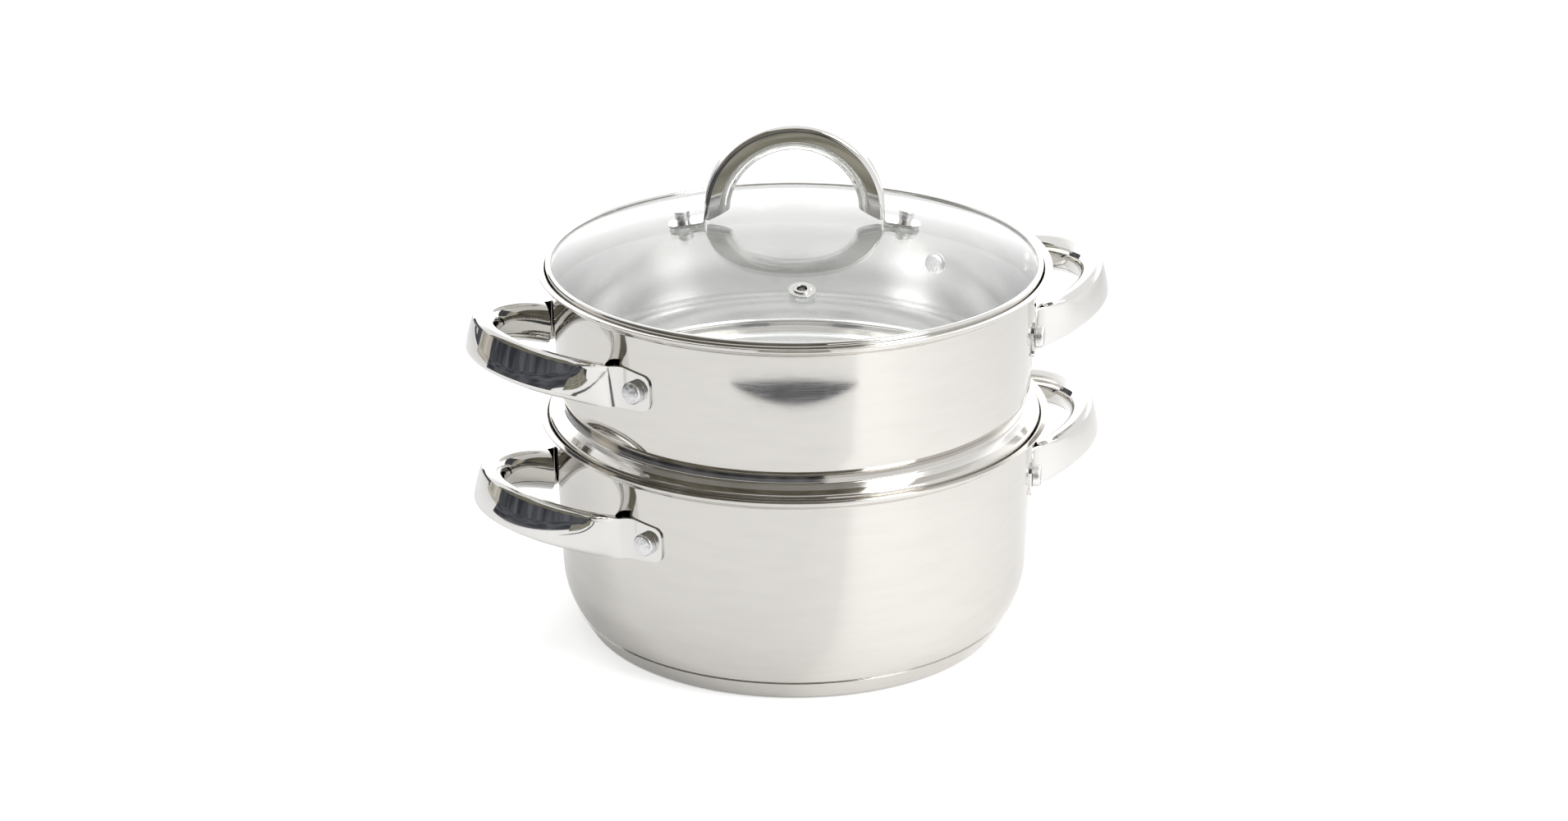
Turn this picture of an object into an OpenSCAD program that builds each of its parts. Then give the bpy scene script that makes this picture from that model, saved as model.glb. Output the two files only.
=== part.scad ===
// Stainless casserole pot with a stacked steamer basket and a domed glass lid.
// Millimetres, +Z up. The origin is on the table at the middle of the base, and +X runs out
// through the pot's right handle. The basket stands on the step in the pot's rim, and the lid
// stands on the same step in the basket's rim.

/* [Both vessels] */
// Inside diameter of the wall, just under the rim
mouth_d = 240; // [200:1:300]
// Thickness of the steel sheet
sheet_t = 0.9; // [0.6:0.05:1.2]
// How far the wall leans in towards the bottom, in degrees
draft = 2.2; // [0.5:0.1:4]

/* [Pot] */
// Height from the table to the top of the pot's lip
pot_h = 112.7; // [90:0.1:180]
// Inset of the pot's flat underside from its wall, on the radius
base_inset = 17.5; // [12:0.1:24]
// Bend between the pot's floor and its lower slope
corner_low_r = 9; // [4:0.5:12]
// Wide bend between the lower slope and the wall
corner_high_r = 43; // [10:1:44]
// Slope of the stretch between the two bends, in degrees
corner_slope = 57; // [45:1:65]

/* [Bonded base] */
// Thickness of the whole base under the pot's floor
base_t = 6.5; // [4:0.1:10]
// Sheet of the steel cap
cap_t = 0.6; // [0.4:0.05:1]
// How far the cap stands out from the pot's slope at its upper edge
cap_proud = 0.7; // [0.3:0.05:1]
// Bend at the foot of the cap
cap_bend_r = 4; // [1.5:0.5:6]
// How far the foot of the cap stands out from the pot's flat underside
cap_foot_out = 1.8; // [0.5:0.1:3]

/* [Rim of both vessels] */
// Height of the stepped rim, from the wall to the top of the lip
rim_h = 5.9; // [5:0.1:9]
// How much wider the step is than the wall, on the radius
step_w = 3.9; // [3:0.1:5]
// Reach of the flat lip past the step
lip_w = 3.2; // [2:0.1:6]
// Lean of the step's cone, in degrees from upright
step_lean = 55; // [45:1:60]
// Bends of the step
step_bend_r = 1.5; // [1.3:0.1:1.8]
// Bend under the lip
lip_bend_r = 0.7; // [0.3:0.05:1]

/* [Steamer basket] */
// Height of the basket's lip above the pot's lip
steamer_h = 76.9; // [60:0.1:150]
// How far the basket's floor hangs below the pot's lip
floor_drop = 14; // [11:0.5:40]
// How far the neck, just above the seat bead, lies inside the outer face of the wall at the rim
neck_inset = 5.3; // [3:0.1:7]
// Height of the neck above the pot's lip
neck_rise = 4.9; // [4:0.1:8]
// Height of the seat bead's outer edge above the pot's lip
bead_rise = 1.4; // [1:0.1:2.2]
// Slope of the wall just above the neck, in degrees
neck_slope = 72; // [68:1:78]
// Wide bend between that slope and the wall
neck_high_r = 45; // [10:1:60]
// Outer bend of the seat bead
bead_bend_r = 1.8; // [1.3:0.1:2.2]
// Bend at the neck
neck_bend_r = 1.2; // [0.6:0.1:2]
// Bend between the skirt and the floor
floor_bend_r = 6; // [3:0.5:9]
// Gap between the skirt and the pot's wall
skirt_gap = 1.4; // [0.8:0.1:2.5]
// Gap between the seat bead and the pot's rim
bead_gap = 0.5; // [0.3:0.05:0.8]
// Diameter of the steam holes
hole_d = 8; // [3:0.1:10]
// Rings of steam holes around the middle one
hole_rings = 4; // [2:1:4]
// Distance from ring to ring
hole_pitch = 22; // [14:0.5:24]
// Turn of the basket in the pot, in degrees, as it stands in the photograph
steamer_turn = -2.7; // [-8:0.1:8]

/* [Side handles] */
// Reach of a handle out from the vessel's wall
handle_reach = 48.4; // [42:0.1:60]
// Width over the two legs
handle_w = 100; // [90:0.5:112]
// Height of the outer web
handle_h = 20; // [16:0.5:24]
// Depth of the rolled section
handle_depth = 13; // [11:0.5:15]
// Sheet of the handle
handle_t = 1.2; // [0.8:0.1:1.6]
// Rise of the handle towards the outside, in degrees
handle_tilt = 15; // [0:1:20]
// Bends where the web meets the rolled sides
web_bend_r = 2; // [1.4:0.1:3]
// Roll of the inner side
roll_r = 8; // [4:0.5:8]
// Bend between a leg and its tab
tab_bend_r = 7; // [4:0.5:9]
// Depth of the rivets below the lip
handle_drop = 33.4; // [26:0.1:40]
// Angle of each rivet from the middle of the handle, in degrees
rivet_angle = 30; // [29:0.1:31]
// Height of a tab at its free end
tab_h = 17; // [14:0.5:20]
// Length of a tab past its rivet
tab_end = 8.6; // [7:0.1:11]
// Corners of a tab
tab_corner_r = 4; // [1:0.1:6]
// Gap between the vessel's wall and the rolled sides' open ends
end_gap = 1; // [0.5:0.1:3]
// Gap of the seam where the two rolled sides meet
seam_gap = 0.4; // [0.2:0.05:0.8]
// Height of that seam below the middle of the section
seam_drop = 4; // [0:0.5:5]

/* [Side handle rivets] */
// Diameter of the outer head
head_d = 11; // [9:0.1:12]
// Height of the outer head
head_h = 4.6; // [3:0.1:6]
// Rounding of the outer head
head_edge_r = 1.2; // [0.4:0.1:2]
// Diameter of the shank
shank_d = 6; // [4:0.1:7]
// Height of the head inside the vessel
inner_head_h = 2.2; // [1.5:0.1:4]
// Rounding of that head
inner_edge_r = 1.5; // [0.4:0.1:1.5]

/* [Lid glass and ring] */
// Thickness of the glass
glass_t = 4; // [3:0.1:4.2]
// Rise of the dome from the ring to its middle
dome_rise = 22; // [14:0.5:30]
// Height of the glass above the lip, at the ring
glass_edge_rise = 0.6; // [0.4:0.05:1]
// Sheet of the steel ring
ring_t = 0.5; // [0.4:0.05:0.6]
// Width of the ring's bead, seen from above
ring_w = 2.6; // [2.5:0.05:3]
// Height of the bead above the lip
ring_rise = 2; // [1.8:0.05:3]
// Depth of the ring's lower edge below the lip
ring_drop = 4.9; // [4.8:0.05:5]
// Reach of the lower edge under the glass
ring_under = 1.6; // [1:0.1:4]
// Inner bend of the bead
bead_in_r = 1.1; // [0.7:0.05:1.2]
// Outer bend of the bead
bead_out_r = 1.3; // [0.7:0.05:1.3]
// Bends of the ring's lower edge
ring_low_r = 1; // [0.6:0.1:1.2]
// Gap between the ring and the basket's rim
ring_gap = 0.4; // [0.3:0.05:0.6]
// Gap between the edge of the glass and the ring
glass_gap = 0.5; // [0.3:0.05:0.8]
// Turn of the lid, in degrees, as it stands in the photograph
lid_turn = -23.7; // [-180:0.1:180]

/* [Lid handle] */
// Outside radius of the arch
arch_r = 44.8; // [38:0.1:50]
// Height of the arch above the top of the dome
grip_h = 48.3; // [44:0.1:60]
// Width of the rolled strip
strip_w = 13; // [11:0.5:18]
// Depth of the rolled strip
strip_depth = 13; // [9:0.5:14]
// Sheet of the lid handle
strip_t = 1; // [0.8:0.1:1.4]
// Bends where the strip's face meets its sides
strip_bend_r = 1.8; // [1.2:0.1:3]
// Roll of the strip's inner side
strip_roll_r = 5.6; // [3:0.1:5.9]
// Radius of the cut that clears the glass at the feet
foot_cut_r = 83; // [70:1:110]
// Height of that cut above the dome, in the middle
foot_cut_rise = 11.8; // [9:0.1:14]
// Distance of each lid rivet from the middle of the lid
post_r = 54.4; // [50:0.1:60]
// Length of a foot past its rivet
foot_end = 7.6; // [6:0.1:10]
// Corners of a foot
foot_corner_r = 4.6; // [1:0.1:6]

/* [Lid handle rivets] */
// Diameter of the post's head
post_head_d = 8; // [6:0.1:10]
// Height of the post's head
post_head_h = 4.6; // [3:0.1:7]
// Diameter of the neck under the head
post_neck_d = 6.6; // [5.6:0.1:7]
// Height of that neck
post_neck_h = 1.3; // [0.8:0.1:2]
// Diameter of the shaft
post_shaft_d = 5; // [4:0.1:5.4]
// Rounding of the post's head
post_edge_r = 0.7; // [0.2:0.1:1.2]
// Diameter of the closing head under the glass
tail_d = 8.4; // [7:0.1:10]
// Height of the closing head
tail_h = 1.5; // [1:0.1:2.5]
// Hole in the glass for each lid rivet
glass_hole_d = 7.4; // [7:0.1:8]
// Diameter of the seal between foot and glass
seal_d = 11.4; // [9:0.1:13]
// Thickness of that seal
seal_t = 1.2; // [0.8:0.1:1.6]
// Diameter of the seal and the washer under the glass
under_d = 13; // [11:0.1:16]
// Thickness of the seal under the glass
under_seal_t = 1; // [0.6:0.1:1.5]
// Thickness of the washer under the glass
under_washer_t = 0.8; // [0.5:0.1:1.2]

/* [Steam vent] */
// Distance of the vent from the middle of the lid
vent_r = 82.5; // [74:0.5:95]
// Direction of the vent from the lid handle, in degrees
vent_turn = -88; // [-120:1:-60]
// Hole in the glass for the vent
vent_glass_hole_d = 9; // [8.4:0.1:10]
// Bore of the eyelet, where the steam leaves
vent_bore_d = 4.8; // [3:0.1:5]
// Outside diameter of the eyelet's tube
vent_tube_d = 6.4; // [6:0.1:6.8]
// Diameter of the eyelet's brim
brim_d = 13; // [11:0.1:15]
// Thickness of the brim
brim_t = 0.5; // [0.4:0.05:0.8]
// Diameter of the raised crown on the brim
crown_d = 8.6; // [7.6:0.1:10]
// Height of the crown
crown_h = 0.9; // [0.5:0.05:1.4]
// Diameter of the rolled flange under the glass
curl_d = 10.6; // [9:0.1:13]
// Diameter of the rubber grommet's two flanges
grommet_d = 12.2; // [11:0.1:14]
// Thickness of each flange
grommet_t = 0.9; // [0.6:0.1:1.4]

/* [Hidden] */
$fn = 180;
// Largest step of a rounded bend, in degrees
arc_step = 7.5;
// Number of straight stretches from the middle of the dome to its edge
dome_count = 22;
// Free play at rest between a vessel's step and what stands on it
seat_gap = 0.3;
// Free play round a rivet's shank
rivet_play = 0.05;
// Overrun of every cut
over = 1;
// Share of the room between two bends that the wide bend takes
room_share = 0.98;

mouth_r = mouth_d / 2;
wall_r = mouth_r + sheet_t;
step_r = wall_r + step_w;
lip_r = step_r + lip_w;
// Heading of the step's cone and of the wall in a profile, from the radius
cone_dir = 90 - step_lean;
wall_dir = 90 - draft;
steamer_lip = pot_h + steamer_h;

// Plane geometry. A profile is a polyline with a bend radius at each inner corner; its sheet
// lies between the polyline and the same polyline moved sideways, so that both faces of a bend
// share one centre.
function unit(v) = v / norm(v);
function left_of(v) = [-v[1], v[0]];
function heading(a) = [cos(a), sin(a)];
function cross2(a, b) = a[0] * b[1] - a[1] * b[0];
function reversed(v) = [for (i = [len(v) - 1:-1:0]) v[i]];
// Where the line through p with heading a meets the line through q with heading b
function meet(p, a, q, b) =
    p + heading(a) * (cross2(q - p, heading(b)) / cross2(heading(a), heading(b)));
// Number of straight stretches in a bend of the given angle
function arc_count(turn) = max(1, ceil(abs(turn) / arc_step));
// Points of the bend at b, between a and c, moved to the left by o
function bend(a, b, c, r, o) =
    let (d = unit(b - a), e = unit(c - b),
         turn = atan2(cross2(d, e), d * e),
         side = turn > 0 ? 1 : -1,
         mitre = (left_of(d) + left_of(e)) / (1 + d * e),
         radius = max(r - side * o, 0),
         from = atan2(d[1], d[0]),
         count = arc_count(turn))
    radius > 0
        ? [for (i = [0:count])
               b + mitre * (o + side * radius)
               - left_of(heading(from + turn * i / count)) * side * radius]
        : [b + mitre * o];
// An open polyline with its bends
function bent(pts, radii, o) =
    let (last = len(pts) - 1)
    concat([pts[0] + left_of(unit(pts[1] - pts[0])) * o],
           [for (i = [1:last - 1]) each bend(pts[i - 1], pts[i], pts[i + 1], radii[i - 1], o)],
           [pts[last] + left_of(unit(pts[last] - pts[last - 1])) * o]);
// A closed outline with its bends
function rounded(pts, radii, o = 0) =
    let (n = len(pts))
    [for (i = [0:n - 1])
         each bend(pts[(i + n - 1) % n], pts[i], pts[(i + 1) % n], radii[i], o)];
// The longest bend radius, up to r, that fits at b beside a bend of radius near at a
function fitting(r, a, near, a_turn, b, b_turn) =
    min(r, (norm(b - a) - near * tan(a_turn / 2)) / tan(b_turn / 2) * room_share);

module sheet(pts, radii, t) {
    polygon(concat(bent(pts, radii, 0), reversed(bent(pts, radii, t))));
}

// The rim, the same on both vessels: wall, cone of the step, upright of the step, flat lip
function wall_top(lip) = [wall_r, lip - rim_h];
function rim(lip) = [
    wall_top(lip),
    meet(wall_top(lip), cone_dir, [step_r, lip], 90),
    [step_r, lip - sheet_t],
    [lip_r, lip - sheet_t]];
rim_radii = [step_bend_r, step_bend_r, lip_bend_r];
// A point of the cone on which a lid or a basket rests, moved off the sheet by the free play
function seat(lip) = wall_top(lip) + left_of(heading(cone_dir)) * (sheet_t + seat_gap);

// Pot
base_flat_r = wall_r - base_inset;
pot_low = [base_flat_r + corner_low_r * tan(corner_slope / 2), base_t];
pot_high = meet(pot_low, corner_slope, wall_top(pot_h), wall_dir);
pot_wide_r = fitting(corner_high_r, pot_low, corner_low_r, corner_slope, pot_high,
                     wall_dir - corner_slope);
pot_pts = concat([[0, base_t], pot_low, pot_high], rim(pot_h));
pot_radii = concat([corner_low_r, pot_wide_r], rim_radii);

// Base: the cap's upper edge lies where the pot's lower bend ends
groove = pot_low + heading(corner_slope) * corner_low_r * tan(corner_slope / 2);
cap_pts = [[0, 0], [base_flat_r + cap_foot_out, 0], groove + [cap_proud, 0]];

// Steamer basket
skirt_r = mouth_r - skirt_gap;
bead_r = step_r - sheet_t - bead_gap;
floor_z = pot_h - floor_drop;
neck = [wall_r - neck_inset, pot_h + neck_rise];
neck_high = meet(neck, neck_slope, wall_top(steamer_lip), wall_dir);
neck_turn = 180 - atan2(neck_rise - bead_rise, bead_r - neck[0]) - neck_slope;
neck_wide_r = fitting(neck_high_r, neck, neck_bend_r, neck_turn, neck_high,
                      wall_dir - neck_slope);
steamer_pts = concat(
    [[0, floor_z], [skirt_r, floor_z],
     meet([skirt_r, 0], 90, seat(pot_h), cone_dir),
     meet([bead_r, 0], 90, seat(pot_h), cone_dir),
     [bead_r, pot_h + bead_rise], neck, neck_high],
    rim(steamer_lip));
steamer_radii = concat(
    [floor_bend_r, step_bend_r, step_bend_r, bead_bend_r, neck_bend_r, neck_wide_r],
    rim_radii);

// Side handles, seen from the vessel's axis: x out, y along the wall, z up from the rivets
handle_wall_r = wall_r - (handle_drop - rim_h) * tan(draft);
tab_r = handle_wall_r + handle_t;
leg_y = handle_w / 2;
// Centre of the bend between a leg and its tab, and where the leg begins
bend_y = leg_y + tab_bend_r;
bend_x = sqrt(pow(tab_r + tab_bend_r, 2) - pow(bend_y, 2));
bend_angle = atan2(bend_y, bend_x);
head_r = head_d / 2;
// Distance from the outer face of a tab to the seat of the head inside the vessel
inner_r = handle_wall_r - sheet_t;
grip = tab_r - sqrt(pow(inner_r, 2) - pow(head_r, 2)) + head_r * tan(draft);

// Lid
ring_r = step_r - sheet_t - ring_gap;
ring_in_r = ring_r - ring_w;
glass_r = ring_r - ring_t - glass_gap;
dome_r = (pow(ring_in_r, 2) + pow(dome_rise, 2)) / (2 * dome_rise);
dome_in_r = dome_r - glass_t;
glass_edge_z = steamer_lip + glass_edge_rise;
dome_z = glass_edge_z - (dome_r - dome_rise);
dome_top = dome_z + dome_r;
arch_z = dome_top + grip_h - arch_r;
// How far a flat washer of radius r stands off the hollow side of the glass
function hollow_gap(r) = dome_in_r - sqrt(pow(dome_in_r, 2) - pow(r, 2));
under_z = -glass_t - hollow_gap(under_d / 2);
grommet_z = -glass_t - hollow_gap(grommet_d / 2);

// A solid that turns the profile of a wall, with its upper face at the given height
module wall_cone(r, h) {
    cylinder(h = 2 * h, r1 = r - h * tan(draft), r2 = r + h * tan(draft), center = true);
}

// The four rivet holes in the wall of a vessel
module rivet_holes(z) {
    for (side = [0, 180])
        for (angle = [-rivet_angle, rivet_angle])
            rotate([0, 0, side + angle])
                translate([inner_r, 0, z])
                    rotate([0, 90, 0])
                        cylinder(h = 4 * shank_d, d = shank_d + 2 * rivet_play, center = true);
}

module pot_shell() {
    color("silver")
        difference() {
            rotate_extrude() sheet(pot_pts, pot_radii, sheet_t);
            rivet_holes(pot_h - handle_drop);
        }
}

module base_core() {
    color("gray")
        rotate_extrude()
            polygon(concat(bent(cap_pts, [cap_bend_r], cap_t),
                           reversed(bent([[0, base_t], pot_low, groove], [corner_low_r], 0))));
}

module base_cap() {
    color("silver") rotate_extrude() sheet(cap_pts, [cap_bend_r], cap_t);
}

module steam_holes() {
    translate([0, 0, floor_z - over]) {
        cylinder(h = sheet_t + 2 * over, d = hole_d, $fn = 24);
        for (ring = [1:hole_rings])
            for (i = [0:6 * ring - 1])
                rotate([0, 0, i * 360 / (6 * ring)])
                    translate([ring * hole_pitch, 0, 0])
                        cylinder(h = sheet_t + 2 * over, d = hole_d, $fn = 24);
    }
}

module steamer_shell() {
    color("silver")
        rotate([0, 0, steamer_turn])
            difference() {
                rotate_extrude() sheet(steamer_pts, steamer_radii, sheet_t);
                rivet_holes(steamer_lip - handle_drop);
                steam_holes();
            }
}

// Hollow section rolled from one sheet: a flat web at x = 0 and a round inner side, with a seam
module rolled_section(h, depth, web_r, inner_r, t, seam_y) {
    corners = [[0, -h / 2], [0, h / 2], [-depth, h / 2], [-depth, -h / 2]];
    radii = [web_r, web_r, inner_r, inner_r];
    difference() {
        polygon(rounded(corners, radii));
        polygon(rounded(corners, radii, t));
        translate([-depth - over, seam_y - seam_gap / 2])
            square([over + 2 * t, seam_gap]);
    }
}

module handle_section() {
    rolled_section(handle_h, handle_depth, web_bend_r, roll_r, handle_t, -seam_drop);
}

// The loop of a side handle: half a ring on two straight legs that run on past the clip
module handle_loop() {
    stub = handle_h * sin(handle_tilt);
    ring_x = handle_wall_r + handle_reach - leg_y - bend_x;
    translate([ring_x, 0, 0])
        rotate([0, 0, -90])
            rotate_extrude(angle = 180)
                translate([leg_y, 0]) handle_section();
    for (side = [0, 1])
        mirror([0, side, 0])
            translate([-stub, leg_y, 0])
                rotate([90, 0, 90])
                    linear_extrude(stub + ring_x) handle_section();
}

// Plan of one tab with the bend to its leg, at the side of positive y
function tab_plan() =
    let (centre = [bend_x, bend_y],
         turn = 90 - bend_angle,
         span = 2 * rivet_angle - bend_angle,
         bent = [for (i = [0:arc_count(turn)]) heading(-90 - i * turn / arc_count(turn))],
         reach = [for (i = [1:arc_count(span)]) heading(bend_angle + i * span / arc_count(span))])
    concat([for (v = bent) centre + tab_bend_r * v], [for (v = reach) tab_r * v],
           [for (v = reversed(reach)) (tab_r - 2 * handle_t) * v],
           [for (v = reversed(bent)) centre + (tab_bend_r + handle_t) * v]);

module handle_tab() {
    root_h = handle_h / cos(handle_tilt);
    root_y = leg_y * cos(rivet_angle) - bend_x * sin(rivet_angle);
    outline = [[root_y - tab_bend_r, -root_h / 2], [root_y, -root_h / 2], [tab_end, -tab_h / 2],
               [tab_end, tab_h / 2], [root_y, root_h / 2], [root_y - tab_bend_r, root_h / 2]];
    intersection() {
        linear_extrude(2 * handle_h, center = true) polygon(tab_plan());
        rotate([90, 0, 90 + rivet_angle])
            linear_extrude(2 * tab_r)
                polygon(rounded(outline, [0, 0, tab_corner_r, tab_corner_r, 0, 0]));
    }
}

module side_handle() {
    inner_w = handle_w - 2 * handle_t;
    difference() {
        union() {
            translate([bend_x, 0, 0])
                difference() {
                    intersection() {
                        rotate([0, -handle_tilt, 0]) handle_loop();
                        translate([0, -handle_w, -handle_w])
                            cube([2 * handle_w, 2 * handle_w, 2 * handle_w]);
                    }
                    translate([-end_gap, -inner_w / 2, -handle_w])
                        cube([2 * end_gap, inner_w, 2 * handle_w]);
                }
            for (side = [0, 1])
                mirror([0, side, 0]) handle_tab();
        }
        wall_cone(handle_wall_r, 2 * handle_h);
        for (angle = [-rivet_angle, rivet_angle])
            rotate([0, 90, angle])
                cylinder(h = 2 * tab_r, d = shank_d + 2 * rivet_play);
    }
}

// One rivet along +z, with z = 0 on the outer face of the tab
module rivet() {
    outline = [[0, -grip - inner_head_h], [head_r, -grip - inner_head_h], [head_r, -grip],
               [shank_d / 2, -grip], [shank_d / 2, 0], [head_r, 0], [head_r, head_h],
               [0, head_h]];
    rotate_extrude($fn = 60)
        polygon(rounded(outline, [0, inner_edge_r, 0, 0, 0, 0, head_edge_r, 0]));
}

module rivet_pair() {
    for (angle = [-rivet_angle, rivet_angle])
        rotate([0, 0, angle])
            translate([tab_r, 0, 0])
                rotate([0, 90, 0]) rivet();
}

// Places a handle or its rivets: on the pot or the basket, to the right or the left
module on_pot(turn) {
    translate([0, 0, pot_h - handle_drop]) rotate([0, 0, turn]) children();
}

module on_steamer(turn) {
    translate([0, 0, steamer_lip - handle_drop])
        rotate([0, 0, steamer_turn + turn]) children();
}

module pot_handle_right() {
    color("gainsboro") on_pot(0) side_handle();
}

module pot_handle_left() {
    color("gainsboro") on_pot(180) side_handle();
}

module pot_rivets_right() {
    color("lightgray") on_pot(0) rivet_pair();
}

module pot_rivets_left() {
    color("lightgray") on_pot(180) rivet_pair();
}

module steamer_handle_right() {
    color("gainsboro") on_steamer(0) side_handle();
}

module steamer_handle_left() {
    color("gainsboro") on_steamer(180) side_handle();
}

module steamer_rivets_right() {
    color("lightgray") on_steamer(0) rivet_pair();
}

module steamer_rivets_left() {
    color("lightgray") on_steamer(180) rivet_pair();
}

// Stands its children on the glass at radius r, with +z square to the glass
module on_dome(r, turn = 0) {
    translate([0, 0, dome_z])
        rotate([0, asin(r / dome_r), lid_turn + turn])
            translate([0, 0, dome_r]) children();
}

module at_both_posts() {
    for (turn = [0, 180])
        on_dome(post_r, turn) children();
}

// Half section of the glass, with its lower edge ground off beside the cone of the ring
module glass_section() {
    edge_angle = asin(glass_r / dome_r);
    inner_angle = asin(glass_r / dome_in_r);
    ground = seat(steamer_lip) + left_of(heading(cone_dir)) * (ring_t + glass_gap);
    low_z = steamer_lip - ring_drop;
    intersection() {
        translate([0, dome_z])
            polygon(concat(
                [for (i = [0:dome_count])
                     dome_r * heading(90 - edge_angle * i / dome_count)],
                [for (i = [dome_count:-1:0])
                     dome_in_r * heading(90 - inner_angle * i / dome_count)]));
        polygon([[0, low_z], meet(ground, cone_dir, [0, low_z], 0),
                 meet(ground, cone_dir, [glass_r, 0], 90), [glass_r, dome_top + over],
                 [0, dome_top + over]]);
    }
}

module lid_glass() {
    color("lightcyan", 0.4)
        difference() {
            rotate_extrude() glass_section();
            at_both_posts()
                cylinder(h = 3 * glass_t, d = glass_hole_d, center = true);
            on_dome(vent_r, vent_turn)
                cylinder(h = 3 * glass_t, d = vent_glass_hole_d, center = true);
        }
}

module lid_ring() {
    low_z = steamer_lip - ring_drop;
    top_z = steamer_lip + ring_rise;
    edge = [ring_in_r, glass_edge_z];
    shoulder = meet([ring_r, 0], 90, seat(steamer_lip), cone_dir);
    foot = meet(seat(steamer_lip), cone_dir, [0, low_z], 0);
    color("silver")
        rotate_extrude()
            sheet([edge, [ring_in_r, top_z], [ring_r, top_z], shoulder, foot,
                   foot - [ring_under, 0]],
                  [bead_in_r, bead_out_r, ring_low_r, ring_low_r], -ring_t);
}

module strip_section() {
    rolled_section(strip_w, strip_depth, strip_bend_r, strip_roll_r, strip_t, 0);
}

// One foot of the lid handle, lying on its seal
module handle_foot() {
    root = post_r - arch_r + strip_t;
    outline = [[-root, -strip_w / 2], [foot_end, -strip_w / 2], [foot_end, strip_w / 2],
               [-root, strip_w / 2]];
    translate([0, 0, seal_t])
        linear_extrude(strip_t)
            polygon(rounded(outline, [0, foot_corner_r, foot_corner_r, 0]));
}

module lid_handle() {
    leg_h = arch_z - dome_top + strip_depth;
    inside = 2 * (arch_r - strip_t);
    color("gainsboro")
        difference() {
            union() {
                difference() {
                    translate([0, 0, arch_z])
                        rotate([0, 0, lid_turn]) {
                            rotate([90, 0, 0])
                                rotate_extrude(angle = 180)
                                    translate([arch_r, 0]) strip_section();
                            for (side = [0, 1])
                                mirror([side, 0, 0])
                                    translate([arch_r, 0, -leg_h])
                                        linear_extrude(leg_h) strip_section();
                        }
                    translate([0, 0, dome_top + foot_cut_rise - foot_cut_r])
                        rotate([0, 0, lid_turn])
                            intersection() {
                                rotate([90, 0, 0])
                                    cylinder(h = 2 * strip_w, r = foot_cut_r, center = true);
                                cube([inside, 2 * strip_w, 2 * foot_cut_r], center = true);
                            }
                    at_both_posts()
                        translate([-arch_r, -strip_w, seal_t - 2 * strip_depth])
                            cube([2 * arch_r, 2 * strip_w, 2 * strip_depth]);
                }
                at_both_posts() handle_foot();
            }
            at_both_posts()
                cylinder(h = 3 * strip_w, d = post_shaft_d + 2 * rivet_play, center = true);
        }
}

module lid_rivets() {
    neck_z = seal_t + strip_t;
    tail_z = under_z - under_seal_t - under_washer_t;
    outline = [[0, tail_z - tail_h], [tail_d / 2, tail_z - tail_h], [tail_d / 2, tail_z],
               [post_shaft_d / 2, tail_z], [post_shaft_d / 2, neck_z],
               [post_neck_d / 2, neck_z], [post_neck_d / 2, neck_z + post_neck_h],
               [post_head_d / 2, neck_z + post_neck_h + post_edge_r],
               [post_head_d / 2, neck_z + post_neck_h + post_head_h],
               [0, neck_z + post_neck_h + post_head_h]];
    color("lightgray")
        at_both_posts()
            rotate_extrude($fn = 60)
                polygon(rounded(outline, [0, post_edge_r, 0, 0, 0, 0, 0, 0, post_edge_r, 0]));
}

module lid_upper_seals() {
    sleeve_h = glass_t - under_seal_t;
    color("whitesmoke")
        at_both_posts()
            difference() {
                union() {
                    cylinder(h = seal_t, d = seal_d, $fn = 60);
                    translate([0, 0, -sleeve_h])
                        cylinder(h = sleeve_h, d = glass_hole_d - 4 * rivet_play, $fn = 60);
                }
                cylinder(h = 3 * glass_t, d = post_shaft_d + 2 * rivet_play, center = true);
            }
}

module under_ring(top, t) {
    translate([0, 0, top - t])
        difference() {
            cylinder(h = t, d = under_d, $fn = 60);
            translate([0, 0, -over])
                cylinder(h = t + 2 * over, d = post_shaft_d + 2 * rivet_play, $fn = 60);
        }
}

module lid_lower_seals() {
    color("whitesmoke") at_both_posts() under_ring(under_z, under_seal_t);
}

module lid_lower_washers() {
    color("silver")
        at_both_posts() under_ring(under_z - under_seal_t, under_washer_t);
}

module vent_eyelet() {
    brim_z = grommet_t;
    curl_z = grommet_z - grommet_t;
    outline = [[vent_bore_d / 2, curl_z - brim_t], [curl_d / 2, curl_z - brim_t],
               [curl_d / 2, curl_z], [vent_tube_d / 2, curl_z], [vent_tube_d / 2, brim_z],
               [brim_d / 2, brim_z], [brim_d / 2, brim_z + brim_t],
               [crown_d / 2, brim_z + brim_t], [crown_d / 2, brim_z + brim_t + crown_h],
               [vent_bore_d / 2, brim_z + brim_t + crown_h]];
    soft_r = brim_t / 2;
    color("silver")
        on_dome(vent_r, vent_turn)
            rotate_extrude($fn = 60)
                polygon(rounded(outline, [brim_t, 0, 0, 0, 0, 0, soft_r, brim_t, brim_t, brim_t]));
}

module vent_grommet() {
    outline = [[vent_tube_d / 2 + rivet_play, grommet_z - grommet_t],
               [grommet_d / 2, grommet_z - grommet_t], [grommet_d / 2, grommet_z],
               [vent_glass_hole_d / 2 - 2 * rivet_play, grommet_z],
               [vent_glass_hole_d / 2 - 2 * rivet_play, 0], [grommet_d / 2, 0],
               [grommet_d / 2, grommet_t], [vent_tube_d / 2 + rivet_play, grommet_t]];
    color("whitesmoke")
        on_dome(vent_r, vent_turn)
            rotate_extrude($fn = 60) polygon(outline);
}

pot_shell();
base_core();
base_cap();
pot_handle_right();
pot_handle_left();
pot_rivets_right();
pot_rivets_left();
steamer_shell();
steamer_handle_right();
steamer_handle_left();
steamer_rivets_right();
steamer_rivets_left();
lid_glass();
lid_ring();
lid_handle();
lid_rivets();
lid_upper_seals();
lid_lower_seals();
lid_lower_washers();
vent_eyelet();
vent_grommet();
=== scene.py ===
import math

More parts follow.
